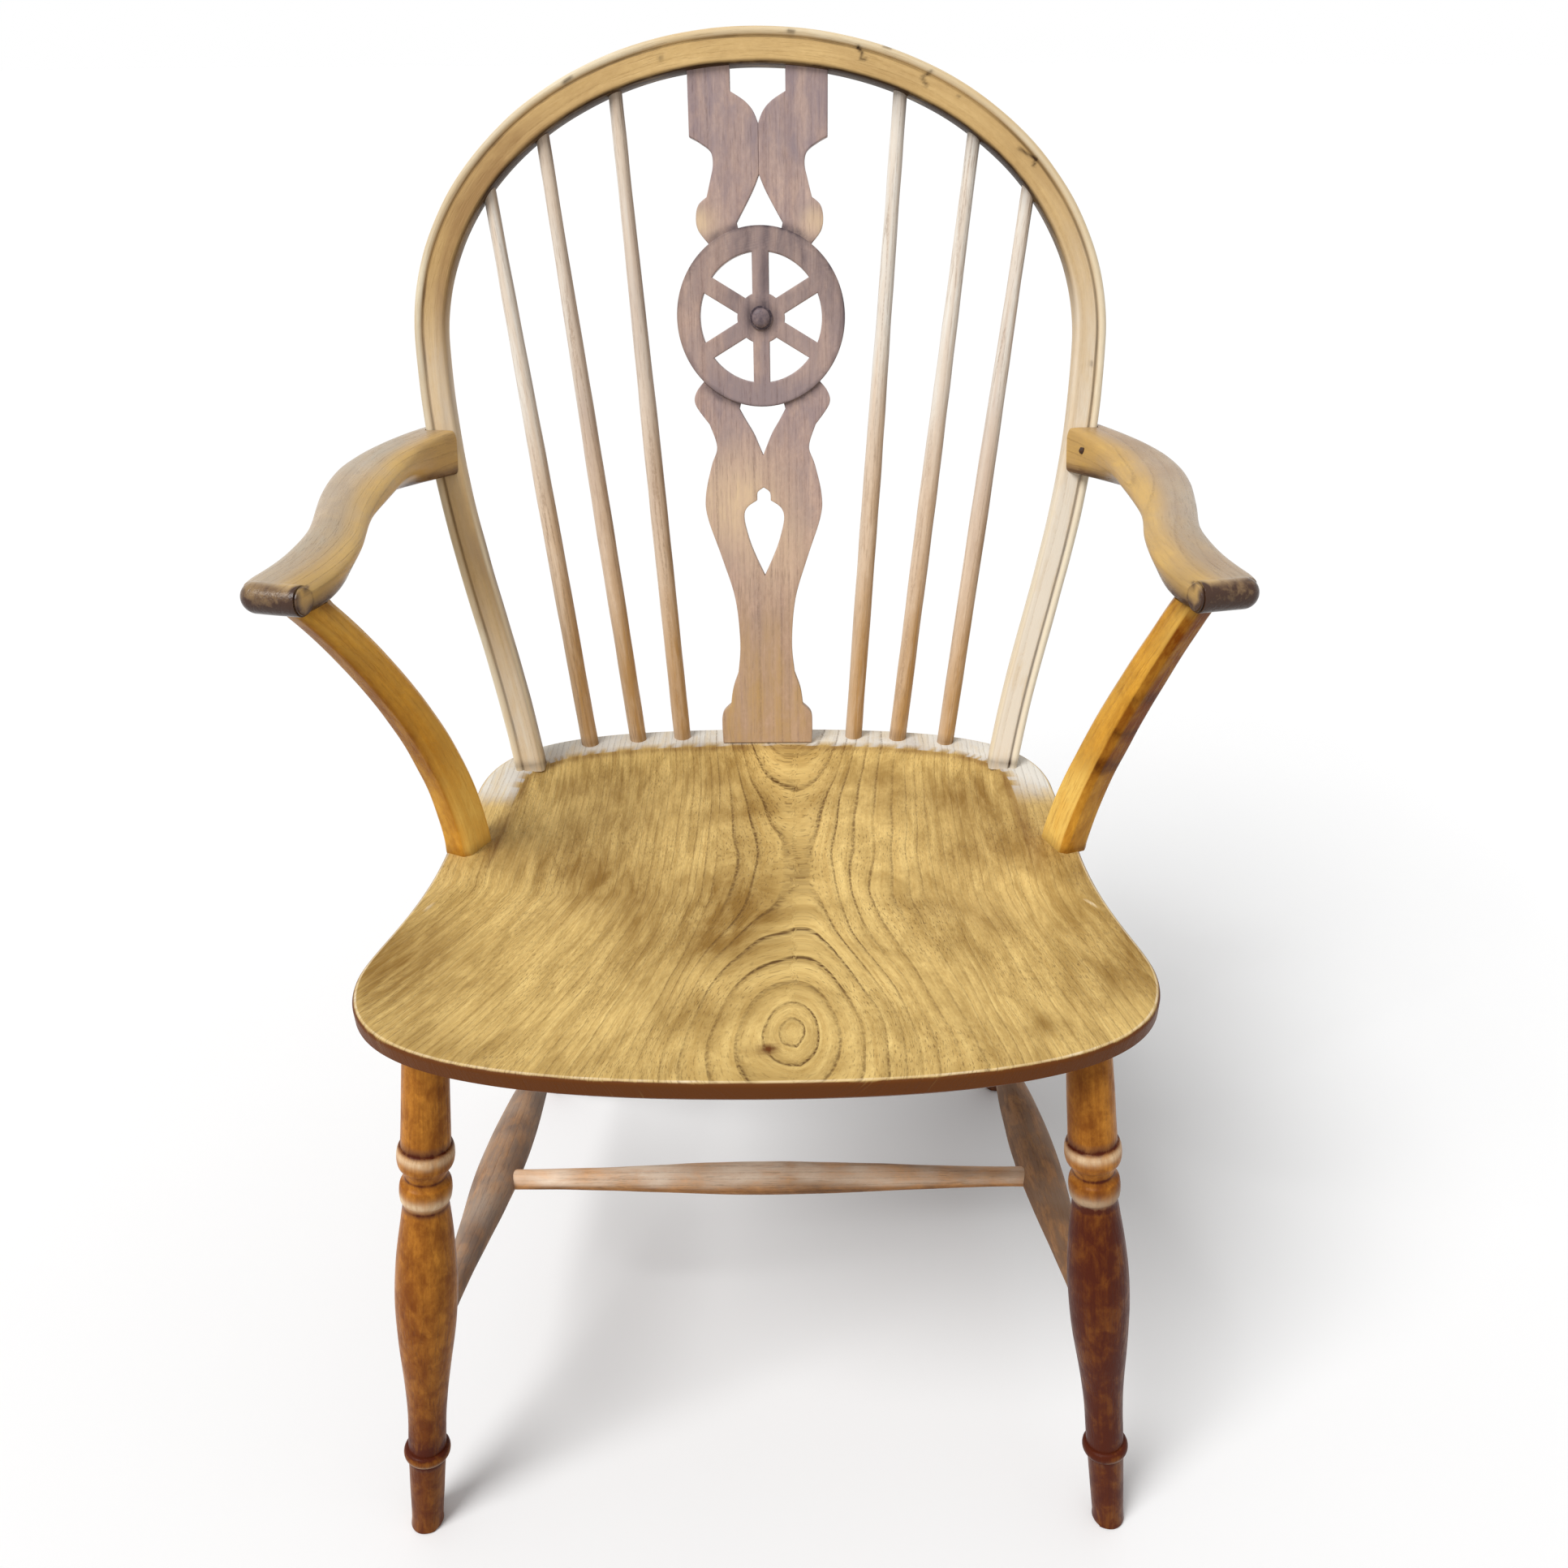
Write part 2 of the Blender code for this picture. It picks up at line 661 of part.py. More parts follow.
# Splat: right half of each edge in its own plane, half width and height above the seat.
# The heights are drawn for a wheel and a top at these two heights.
DRAWN_WHEEL = 0.3205
DRAWN_TOP = 0.477
SPLAT_TOP_HALF = 0.048
SPLAT_GAP_HALF = 0.019
UPPER_EDGE = (
    ((SPLAT_TOP_HALF, 0.5), (SPLAT_TOP_HALF, 0.435)),
    ((SPLAT_TOP_HALF, 0.435), (0.041, 0.4315), (0.0335, 0.426), (0.032, 0.418), (0.034, 0.409),
     (0.037, 0.398)),
    ((0.037, 0.398), (0.043, 0.393), (0.045, 0.385), (0.0435, 0.377), (0.037, 0.369)),
    ((0.037, 0.369), (0.03, 0.345), (0, 0.34)),
)
LOWER_EDGE = (
    ((0, 0.3), (0.03, 0.296), (0.041, 0.279)),
    ((0.041, 0.279), (0.0485, 0.27), (0.0495, 0.261), (0.0395, 0.247)),
    ((0.0395, 0.247), (0.0345, 0.231), (0.039, 0.2175), (0.044, 0.196), (0.043, 0.179),
     (0.033, 0.149), (0.0235, 0.117), (0.0205, 0.082), (0.0225, 0.058)),
    ((0.0225, 0.058), (0.027, 0.045), (0.029, 0.032)),
    ((0.029, 0.032), (0.0355, 0.025), (0.0365, 0.014), (0.036, 0)),
)
TOP_OPENING = (
    ((SPLAT_GAP_HALF, 0.52), (SPLAT_GAP_HALF, 0.462)),
    ((SPLAT_GAP_HALF, 0.462), (0.0095, 0.4565), (0.0035, 0.4505), (0, 0.443)),
)
UPPER_OPENING = (
    ((0, 0.412), (0.0035, 0.404), (0.0085, 0.395), (0.0163, 0.382)),
    ((0.0163, 0.382), (0.0163, 0.36)),
)
LOWER_OPENING = (
    ((0.017, 0.28), (0.017, 0.258)),
    ((0.017, 0.258), (0.0125, 0.25), (0.007, 0.241), (0.003, 0.232), (0, 0.225)),
)
KEYHOLE = (
    ((0, 0.2015), (0.0046, 0.198), (0.0052, 0.192)),
    ((0.0052, 0.192), (0.013, 0.1865), (0.0152, 0.178), (0.0115, 0.162), (0.0065, 0.149),
     (0, 0.135)),
)
SPLAT_STEPS = 3


def splat_plane():
    """Height of the bow's underside over the seat, along the splat, and the splat's lean."""
    crown = in_bow(0, BOW_RISE - BOW_FACE / 2)
    rise = Vector((crown.y - SPLAT_Y, crown.z - SEAT_HEIGHT))
    return rise.length, math.atan2(rise.x, rise.y)


SPLAT_HEIGHT, SPLAT_LEAN = splat_plane()
SPLAT_UP = Vector((0, math.sin(SPLAT_LEAN), math.cos(SPLAT_LEAN)))
SPLAT_FRONT = Vector((0, -math.cos(SPLAT_LEAN), math.sin(SPLAT_LEAN)))


def in_splat(x, up, front=0.0):
    return Vector((x, SPLAT_Y, SEAT_HEIGHT)) + SPLAT_UP * up + SPLAT_FRONT * front


def on_splat(drawn):
    """Height on the splat for a drawn height: below and above the wheel stretch by themselves."""
    if drawn <= DRAWN_WHEEL:
        return drawn * WHEEL_HEIGHT / DRAWN_WHEEL
    stretch = (SPLAT_HEIGHT - WHEEL_HEIGHT) / (DRAWN_TOP - DRAWN_WHEEL)
    return WHEEL_HEIGHT + (drawn - DRAWN_WHEEL) * stretch


def splat_outline(runs, low, high):
    """The right half of a drawn edge as smooth runs between corners, kept between two heights."""
    points = []
    for run in runs:
        smooth = through(run, SPLAT_STEPS if len(run) > 2 else 1)
        points += smooth if not points else smooth[1:]
    return [Vector((p.x, min(max(on_splat(p.y), low), high))) for p in points]


def splat_board(name, runs, low, high, thick):
    return plate(name, mirrored(splat_outline(runs, low, high)), in_splat, thick)


def wheel_windows():
    """The six openings between the spokes, each as an outline round the wheel's middle."""
    half = math.pi / WHEEL_SPOKES
    arcs = ((WHEEL_RIM_R, WINDOW_RIM_STEPS, 1), (WHEEL_HUB_R, WINDOW_HUB_STEPS, -1))
    outlines = []
    for k in range(WHEEL_SPOKES):
        middle = 2 * half * k
        outline = []
        for radius, steps, way in arcs:
            reach = half - math.asin(WHEEL_SPOKE / 2 / radius)
            for i in range(steps + 1):
                turn = middle + way * reach * (2 * i / steps - 1)
                outline.append((radius * math.cos(turn), WHEEL_HEIGHT + radius * math.sin(turn)))
        outlines.append(outline)
    return outlines


def make_splat(seat, bow):
    circle = [2 * math.pi * (i + 0.5) / WHEEL_SIDES for i in range(WHEEL_SIDES)]
    wheel = [(WHEEL_R * math.cos(t), WHEEL_HEIGHT + WHEEL_R * math.sin(t)) for t in circle]
    splat = plate("splat", wheel, in_splat, WHEEL_THICK, FRUITWOOD)

    through_cut = WHEEL_THICK * 2
    foot = (SPLAT_THICK / 2 * math.sin(SPLAT_LEAN) + CLEARANCE) / math.cos(SPLAT_LEAN)
    top = SPLAT_HEIGHT + SPLAT_INSERT
    upper = splat_board("splat_upper", UPPER_EDGE, 0, top, SPLAT_THICK)
    lower = splat_board("splat_lower", LOWER_EDGE, foot, top, SPLAT_THICK)
    far = SPLAT_HEIGHT * 2
    cut(upper, splat_board("splat_top_opening", TOP_OPENING, 0, far, through_cut))
    cut(upper, splat_board("splat_upper_opening", UPPER_OPENING, 0, far, through_cut))
    cut(lower, splat_board("splat_lower_opening", LOWER_OPENING, 0, far, through_cut))
    cut(lower, splat_board("splat_keyhole", KEYHOLE, 0, far, through_cut))

    # Line between the two upper arms, cut into both faces
    ends = (on_splat(KERF_LOW), on_splat(KERF_HIGH))
    for face, word in ((RIGHT, "front"), (LEFT, "back")):
        above, below = (face * (SPLAT_THICK / 2 + way * KERF_DEPTH) for way in (1, -1))
        corners = ((-KERF_WIDTH, above), (KERF_WIDTH, above), (0, below))
        line = [[in_splat(a, up, d) for a, d in corners] for up in ends]
        cut(upper, rings(f"splat_line_{word}", line))

    # Tenon in the seat
    c = CLEARANCE
    half, sink, root = SPLAT_TENON / 2, -SPLAT_SINK, foot + SPLAT_SINK
    tongue = ((-half, sink), (half, sink), (half, root), (-half, root))
    join(lower, plate("splat_tenon", tongue, in_splat, SPLAT_TENON_THICK))
    join(splat, upper)
    join(splat, lower)
    mortise = ((-half - c, sink - c), (half + c, sink - c), (half + c, root), (-half - c, root))
    cut(seat, plate("splat_mortise", mortise, in_splat, SPLAT_TENON_THICK + 2 * c))

    # Slots in the bow for the two upper arms
    below = SPLAT_HEIGHT - BOW_FACE
    for side, word in SIDES:
        inner, outer = side * (SPLAT_GAP_HALF - c), side * (SPLAT_TOP_HALF + c)
        slot = ((inner, below), (outer, below), (outer, top + c), (inner, top + c))
        cut(bow, plate(f"splat_slot_{word}", slot, in_splat, SPLAT_THICK + 2 * c))

    for k, outline in enumerate(wheel_windows()):
        cut(splat, plate(f"wheel_window_{k + 1}", outline, in_splat, through_cut))
    make_boss(splat)


BOSS_TURNS = (20, 45, 70)


def make_boss(splat):
    face = in_splat(0, WHEEL_HEIGHT, WHEEL_THICK / 2)
    start, end = face - SPLAT_FRONT * BOSS_STEM, face + SPLAT_FRONT * BOSS_RIM
    base = BOSS_STEM + CLEARANCE
    step = base + BOSS_RIM + BOSS_STEP
    profile = [(0, BOSS_STEM_R), (base, BOSS_STEM_R), (base, BOSS_R), (base + BOSS_RIM, BOSS_R)]
    profile.append((step, BOSS_DOME_R))
    for turn in BOSS_TURNS:
        angle = math.radians(turn)
        profile.append((step + BOSS_DOME * math.sin(angle), BOSS_DOME_R * math.cos(angle)))
    turned("wheel_boss", start, end, profile, FRUITWOOD)
    cut(splat, rod("boss_hole", start, end, BOSS_STEM_R, grow=CLEARANCE))


# Arms
ARM_TAIL_OUT = 0.004
ARM_TAIL_PULL = (0.016, 0.026)
ARM_ELBOW_PULL = (0.036, 0.085)
ARM_WAIST_PULL = 0.036
ARM_HAND_PULL = (0.0045, 0.020)


def arm_path():
    """Right arm's middle line as outward and forward distances, tail to hand."""
    tail, elbow = Vector((ARM_TAIL_OUT, -ARM_TAIL)), Vector((ARM_ELBOW_OUT, ARM_ELBOW))
    waist, hand = Vector((ARM_WAIST_OUT, ARM_WAIST)), Vector((ARM_HAND_OUT, ARM_LENGTH))
    ahead = Vector((0, 1))
    tail_pulls = (tail + Vector(ARM_TAIL_PULL), elbow - ahead * ARM_ELBOW_PULL[0])
    middle_pulls = (elbow + ahead * ARM_ELBOW_PULL[1], waist - ahead * ARM_WAIST_PULL)
    hand_pulls = (waist + ahead * ARM_WAIST_PULL, hand - Vector(ARM_HAND_PULL))
    points = bezier((tail, *tail_pulls, elbow), ARM_STEPS)
    points += bezier((elbow, *middle_pulls, waist), ARM_STEPS)
    points += bezier((waist, *hand_pulls, hand), ARM_STEPS)
    return points + [hand]


def arm_origin():
    """Middle of the bow's front face where the right arm meets it."""
    return bow_at_height(ARM_UNDER + ARM_TAIL_THICK / 2) + BOW_FRONT * (BOW_DEPTH / 2)


def arm_point(side, out, forward):
    origin = arm_origin()
    return Vector((side * (origin.x + out), origin.y - forward, ARM_UNDER))


def bow_slope():
    """How far the bow's right leg goes out for each unit up, beside the arm."""
    rise = bow_at_height(ARM_UNDER + ARM_TAIL_THICK) - bow_at_height(ARM_UNDER)
    return rise.x / rise.z


ARM_PLACES = (-ARM_TAIL, ARM_ELBOW, ARM_NARROW, ARM_HAND, ARM_LENGTH)
ARM_WIDTHS = (ARM_TAIL_WIDTH, ARM_ELBOW_WIDTH, ARM_NARROW_WIDTH, ARM_HAND_WIDTH, ARM_TIP_WIDTH)
ARM_THICKS = (ARM_TAIL_THICK, ARM_ELBOW_THICK, ARM_NARROW_THICK, ARM_HAND_THICK, ARM_HAND_THICK)
ARM_UNDERCUTS = (0.0, ARM_ELBOW_UNDERCUT, ARM_NARROW_UNDERCUT, 0.0, 0.0)
ARM_SLOPES = (bow_slope(), 0.0, 0.0, 0.0, 0.0)


def along_arm(forward, values):
    return blend(forward, tuple(zip(ARM_PLACES, values)))


def arm_section(side, forward):
    """Right of the path and up from the underside, cut away on the inside and sloped beside the bow."""
    w = along_arm(forward, ARM_WIDTHS) / 2
    t = along_arm(forward, ARM_THICKS)
    u = along_arm(forward, ARM_UNDERCUTS)
    slope = along_arm(forward, ARM_SLOPES)
    r, q = ARM_ROUND, ARM_INNER_ROUND
    k, c = r * ROUND_CUT, q * ROUND_CUT
    middle = t / 2
    outline = [(-w, middle), (-w + u, k), (-w + u + k, 0), (w - r, 0), (w - k, k), (w, r)]
    outline += [(w, t - r), (w - k, t - k), (w - r, t), (-w + q, t), (-w + c, t - c), (-w, t - q)]
    return [(-side * (a + slope * (b - middle)), b) for a, b in outline]


ROLL_TURNS = (75, 50, 25, 0)


def make_arm(side, word, bow):
    path = arm_path()
    radius = ARM_HAND_THICK / 2
    aim = (path[-1] - path[-2]).normalized()
    stations = [p for p in path if (path[-1] - p).dot(aim) > radius + ARM_ROUND / 2]
    stations.append(path[-1] - aim * radius)
    line = [arm_point(side, *p) for p in stations]
    sections = [arm_section(side, p.y) for p in stations]
    arm = swept(f"arm_{word}", line, Vector((0, 0, 1)), sections, ARM_WOOD)

    # Roll across the front of the hand: round at its outer end, flat and a little proud at its inner end
    inward = Vector((-side * aim.y, -aim.x, 0))
    middle = line[-1] + Vector((0, 0, radius))
    outer = middle - inward * (ARM_TIP_WIDTH / 2)
    length = ARM_TIP_WIDTH + ROLL_STAND
    profile = []
    for turn in ROLL_TURNS:
        angle = math.radians(turn)
        profile.append((ROLL_R * (1 - math.sin(angle)), ROLL_R * math.cos(angle)))
    profile += [(length - ROLL_EASE, ROLL_R), (length, ROLL_R - ROLL_EASE)]
    join(arm, turned(f"arm_roll_{word}", outer, outer + inward * length, profile))

    # Notch round the bow
    w, d = BOW_FACE / 2 + CLEARANCE, BOW_DEPTH / 2 + CLEARANCE
    inner = side * (w + ARM_NOTCH_OPEN)
    square = ((-side * w, -d), (inner, -d), (inner, d), (-side * w, d))
    reach = ARM_TAIL_THICK * 2
    middle_up = (ARM_UNDER + ARM_TAIL_THICK / 2 - SEAT_HEIGHT) / math.cos(BOW_LEAN)
    near = [p for p in BOW_HALF if abs(p.y - middle_up) < reach]
    track = [in_bow(side * p.x, p.y) for p in near]
    cut(arm, swept(f"arm_notch_{word}", track, -BOW_FRONT, [square] * len(track)))
    make_arm_screw(side, word, arm, bow)
    return arm


def make_arm_screw(side, word, arm, bow):
    """A countersunk screw through the bow from behind into the arm."""
    middle = bow_at_height(ARM_UNDER + SCREW_UP)
    middle.x = side * (middle.x + SCREW_OUT)
    start = middle - BOW_FRONT * (BOW_DEPTH / 2 - CLEARANCE)
    length = BOW_DEPTH + SCREW_BITE
    profile = [(0, SCREW_HEAD_R), (SCREW_HEAD, SCREW_R)]
    profile += [(length - SCREW_R, SCREW_R), (length, SCREW_POINT_R)]
    end = start + BOW_FRONT * length
    turned(f"arm_screw_{word}", start, end, profile, IRON, STICK_SIDES)
    hole = turned(f"arm_screw_hole_{word}", start, end, profile, None, STICK_SIDES, CLEARANCE)
    cut(bow, hole)
    cut(arm, hole)


def make_nail(arm, bow):
    """The punched-in nail from the inner face of the right arm into the bow."""
    path = arm_path()
    out = crossing(path, NAIL_FORWARD)
    run = Vector((crossing(path, NAIL_FORWARD + NAIL_LONG) - out, NAIL_LONG)).normalized()
    half = along_arm(NAIL_FORWARD, ARM_WIDTHS) / 2
    head = arm_point(RIGHT, out - run.y * half, NAIL_FORWARD + run.x * half) + Vector((0, 0, NAIL_UP))
    goal = bow_at_height(head.z) + BOW_FRONT * (BOW_DEPTH / 2)
    aim = (goal - head).normalized()
    start = head + aim * NAIL_SUNK
    end = start + aim * NAIL_LONG
    profile = ((0, NAIL_R), (NAIL_LONG - 2 * NAIL_R, NAIL_R), (NAIL_LONG, NAIL_POINT_R))
    turned("arm_nail_right", start, end, profile, IRON, STICK_SIDES)
    hole = turned("arm_nail_hole", start, end, profile, None, STICK_SIDES, CLEARANCE)
    outside, inside = head - aim * ARM_TAIL_WIDTH, start + aim * NAIL_R
    mouth = rod("arm_nail_mouth", outside, inside, NAIL_R, grow=CLEARANCE)
    for target in (arm, bow):
        cut(target, hole)
    cut(arm, mouth)


# Posts
POST_STEPS = 12


def post_section(share):
    deep = POST_FOOT_DEEP + (POST_TOP_DEEP - POST_FOOT_DEEP) * share
    wide = POST_FOOT_WIDE + (POST_TOP_WIDE - POST_FOOT_WIDE) * share
    a, b, c = deep / 2, wide / 2, POST_CHAMFER
    front = [(-a, b - c), (-a, -b + c), (-a + c, -b), (a - c, -b)]
    return front + [(-x, -y) for x, y in front]


def make_post(side, word, seat, arm):
    edge = POST_FOOT_EDGE_LEFT if side == LEFT else POST_FOOT_EDGE_RIGHT
    inset = POST_TOP_INSET_LEFT if side == LEFT else POST_TOP_INSET_RIGHT
    bend = POST_BEND_LEFT if side == LEFT else POST_BEND_RIGHT
    foot = Vector((side * (seat_edge_x(POST_FOOT_Y) - edge), POST_FOOT_Y, SEAT_HEIGHT))
    out = crossing(arm_path(), POST_TOP_REACH)
    head = arm_point(side, out - inset, POST_TOP_REACH)
    reach = Vector((head.x - foot.x, head.y - foot.y, 0))
    height = head.z - foot.z
    path = []
    for i in range(POST_STEPS + 1):
        share = i / POST_STEPS
        path.append(foot + reach * share**bend + Vector((0, 0, height * share)))
    level = reach.cross(Vector((0, 0, 1))).normalized()
    sections = [post_section(i / POST_STEPS) for i in range(POST_STEPS + 1)]
    ends = (SEAT_HEIGHT + CLEARANCE, ARM_UNDER - CLEARANCE)
    post = swept(f"arm_post_{word}", path, level, sections, AMBER, ends)
    joints = ((path[0], path[1], seat, "foot"), (path[-1], path[-2], arm, "head"))
    for place, inner, target, where in joints:
        aim = (place - inner).normalized()
        root, tip = place - aim * POST_TENON_ROOT, place + aim * POST_TENON
        join(post, rod(f"post_tenon_{where}_{word}", root, tip, POST_TENON_R))
        cut(target, rod(f"post_socket_{where}_{word}", root, tip, POST_TENON_R, grow=CLEARANCE))


# Legs
VASE_STEPS = 6
SHOULDER_STEPS = 5
SWELL_STEPS = 8


def bulge(middle, long, base, radius):
    """A turned bead: distance and radius across half a round."""
    found = []
    for i in range(BEAD_STEPS + 1):
        turn = math.pi * i / BEAD_STEPS
        found.append((middle - math.cos(turn) * long / 2, base + (radius - base) * math.sin(turn)))
    return found


def leg_profile(length):
    """Distance up from the floor, along the leg, and radius."""
    profile = [(-2 * LEG_TIP_R, LEG_TIP_R), (0, LEG_TIP_R)]
    profile += bulge(LEG_RING_AT, LEG_RING_LONG, LEG_FOOT_R, LEG_RING_R)
    for i in range(VASE_STEPS):
        share = i / VASE_STEPS
        place = LEG_ANKLE_AT + (LEG_VASE_AT - LEG_ANKLE_AT) * share
        profile.append((place, LEG_ANKLE_R + (LEG_VASE_R - LEG_ANKLE_R) * ease(share)))
    for i in range(SHOULDER_STEPS):
        share = i / SHOULDER_STEPS
        place = LEG_VASE_AT + (LEG_VASE_TOP - LEG_VASE_AT) * share
        fall = math.cos(share * math.pi / 2)
        profile.append((place, LEG_VASE_TOP_R + (LEG_VASE_R - LEG_VASE_TOP_R) * fall))
    profile.append((LEG_VASE_TOP, LEG_VASE_TOP_R))
    profile += bulge(LEG_COLLAR_AT, LEG_COLLAR_LONG, LEG_COLLAR_BASE_R, LEG_COLLAR_R)
    profile.append((LEG_NECK_AT, LEG_NECK_R))
    profile += bulge(LEG_BEAD_AT, LEG_BEAD_LONG, LEG_SHAFT_R, LEG_BEAD_R)
    profile += [(length, LEG_TOP_R), (length + LEG_SOCKET, LEG_TOP_R)]
    return profile


def leg_ends(side, top, foot):
    head = Vector((side * top[0], top[1], SEAT_HEIGHT - SEAT_THICK))
    return Vector((side * foot[0], foot[1], 0)), head


def make_leg(name, side, top, foot, seat):
    floor, head = leg_ends(side, top, foot)
    length = (head - floor).length
    profile = leg_profile(length)
    leg = turned(name, floor, head, profile, RED_BROWN)
    trim(leg, (0, 0, 0), (0, 0, -1), LEG_FOOT_ROUND)
    reach = head + (head - floor).normalized() * LEG_SOCKET
    under = head - (head - floor).normalized() * LEG_SOCKET
    cut(seat, rod(f"{name}_socket", under, reach, LEG_TOP_R, sides=LEG_SIDES, grow=CLEARANCE))
    return leg


def on_leg(side, top, foot, height):
    floor, head = leg_ends(side, top, foot)
    return floor + (head - floor) * (height / head.z)


def swelled(length, end_radius, radius, plain):
    """A stretcher's profile: straight ends that enter the sockets, swelling to the middle."""
    profile = [(0, end_radius)]
    for i in range(SWELL_STEPS + 1):
        share = i / SWELL_STEPS
        swell = math.sin(math.pi * share) ** 2
        along = plain + (length - 2 * plain) * share
        profile.append((along, end_radius + (radius - end_radius) * swell))
    return profile + [(length, end_radius)]


def make_legs(seat):
    side_lines = {}
    for side, word in SIDES:
        front = make_leg(f"leg_front_{word}", side, FRONT_LEG_TOP, FRONT_LEG_FOOT, seat)
        back = make_leg(f"leg_back_{word}", side, BACK_LEG_TOP, BACK_LEG_FOOT, seat)
        start = on_leg(side, FRONT_LEG_TOP, FRONT_LEG_FOOT, SIDE_FRONT_HEIGHT)
        end = on_leg(side, BACK_LEG_TOP, BACK_LEG_FOOT, SIDE_BACK_HEIGHT)
        aim = (end - start).normalized()
        start, end = start + aim * SIDE_STOP, end - aim * SIDE_STOP
        profile = swelled((end - start).length, SIDE_END_R, SIDE_R, LEG_VASE_R + SIDE_END_R / 2)
        name = f"side_stretcher_{word}"
        stretcher = turned(name, start, end, profile, DUSTY)
        socket = turned(f"{name}_socket", start, end, profile, None, grow=CLEARANCE)
        cut(front, socket)
        cut(back, socket)
        side_lines[side] = (start, end, stretcher)
    ends = []
    for side, _ in SIDES:
        start, end, _ = side_lines[side]
        share = (CROSS_Y - start.y) / (end.y - start.y)
        ends.append(start + (end - start) * share - Vector((side * CROSS_STOP, 0, 0)))
    profile = swelled((ends[1] - ends[0]).length, CROSS_END_R, CROSS_R, SIDE_R)
    turned("cross_stretcher", ends[0], ends[1], profile, DUSTY)
    socket = turned("cross_stretcher_socket", ends[0], ends[1], profile, None, grow=CLEARANCE)
    for side, _ in SIDES:
        cut(side_lines[side][2], socket)


def centre_on_floor():
    """Move the chair so that the origin is on the floor under the middle of its box."""
    bpy.context.view_layer.update()
    graph = bpy.context.evaluated_depsgraph_get()
    corners = []
    for obj in bpy.context.scene.objects:
        if obj.type == "MESH" and not obj.hide_render:
            corners += [Vector(corner) for corner in obj.evaluated_get(graph).bound_box]
    low = Vector([min(c[i] for c in corners) for i in range(3)])
    high = Vector([max(c[i] for c in corners) for i in range(3)])
    chair.location = (-(low.x + high.x) / 2, -(low.y + high.y) / 2, -low.z)


def make_chair():
    seat = make_seat()
    bow = make_bow()
    for side, word in SIDES:
        root, tip, leg = bow_tenon_line(side)
        below = tip - leg * SEAT_THICK
        hole = rod(f"bow_socket_{word}", root, below, BOW_TENON_R, None, LEG_SIDES, CLEARANCE)
        cut(seat, hole)
    make_wedges(bow)
    make_sticks(seat, bow)
    make_splat(seat, bow)
    for side, word in SIDES:
        arm = make_arm(side, word, bow)
        make_post(side, word, seat, arm)
        if side == RIGHT:
            make_nail(arm, bow)
    make_legs(seat)
    centre_on_floor()


make_chair()
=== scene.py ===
"""Dress of the wheel-back Windsor armchair: fine shapes, worn wood, floor, light and camera.

Metres, +Z up. Shapes are drawn as in the part, with Y zero at the front of the seat, and then moved by ORIGIN
to where the solids are.
"""

import math

import bmesh
import bpy
from mathutils import Matrix, Vector, kdtree, noise


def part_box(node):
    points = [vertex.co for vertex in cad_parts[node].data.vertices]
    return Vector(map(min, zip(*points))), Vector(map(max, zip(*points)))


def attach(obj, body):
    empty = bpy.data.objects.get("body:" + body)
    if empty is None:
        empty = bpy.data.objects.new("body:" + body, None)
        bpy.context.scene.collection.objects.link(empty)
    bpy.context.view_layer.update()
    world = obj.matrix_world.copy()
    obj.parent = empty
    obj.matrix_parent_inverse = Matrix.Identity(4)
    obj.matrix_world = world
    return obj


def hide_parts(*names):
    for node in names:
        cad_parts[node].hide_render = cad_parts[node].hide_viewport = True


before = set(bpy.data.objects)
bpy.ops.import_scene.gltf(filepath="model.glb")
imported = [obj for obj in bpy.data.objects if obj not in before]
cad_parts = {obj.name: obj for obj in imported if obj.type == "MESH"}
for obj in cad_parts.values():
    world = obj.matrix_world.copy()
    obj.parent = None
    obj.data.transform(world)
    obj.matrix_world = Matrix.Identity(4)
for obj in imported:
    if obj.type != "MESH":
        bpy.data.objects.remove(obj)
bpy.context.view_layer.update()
ORIGIN = Vector((0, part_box("seat")[0].y, 0))

LEFT, RIGHT = -1, 1

# Sizes, as in the part

SEAT_HEIGHT = 0.439
SEAT_THICK = 0.038
SEAT_DEPTH = 0.434
SEAT_SIDE_X = 0.246
SEAT_WIDEST_Y = 0.098
SEAT_WAIST = Vector((0.2245, 0.245))
SEAT_REAR = Vector((0.2205, 0.330))
SEAT_EDGE = 0.011
SEAT_FRONT_UNDERCUT = 0.030
SEAT_UNDERCUT = 0.012
SEAT_ARRIS = 0.003
SEAT_RIM = 0.007
SEAT_LEDGE = 0.031
SEAT_LEDGE_FROM_Y = 0.165
SEAT_LEDGE_FULL_Y = 0.225
DISH_DEPTH = 0.009
DISH_CENTRE = Vector((0, 0.225))
RIDGE_HEIGHT = 0.006
RIDGE_WIDTH = 0.045
FRONT_SLOPE = 2.2
BACK_SLOPE = 8.0

BOW_LEAN = math.radians(15.0)
BOW_FOOT_X = 0.1865
BOW_FOOT_Y = 0.371
BOW_SPLAY = math.radians(8.3)
BOW_SIDE_X = 0.2365
BOW_SPAN_HEIGHT = 0.312
BOW_RISE = 0.4995
BOW_FACE = 0.0228
BOW_DEPTH = 0.0195
BOW_BEAD = 0.0068
BOW_GROOVE = 0.0014
BOW_CHAMFER = 0.0025
BOW_BACK_ROUND = 0.005
BOW_TENON_R = 0.0085

STICK_SEAT_X = (0.0705, 0.1065, 0.145)
STICK_BOW_X = (0.0985, 0.1505, 0.190)
STICK_EDGE = 0.0125
STICK_SINK = 0.013
STICK_R = 0.0072
STICK_TOP_R = 0.0052
STICK_TAPER_FROM = 0.160
STICK_TOP_LONG = 0.023

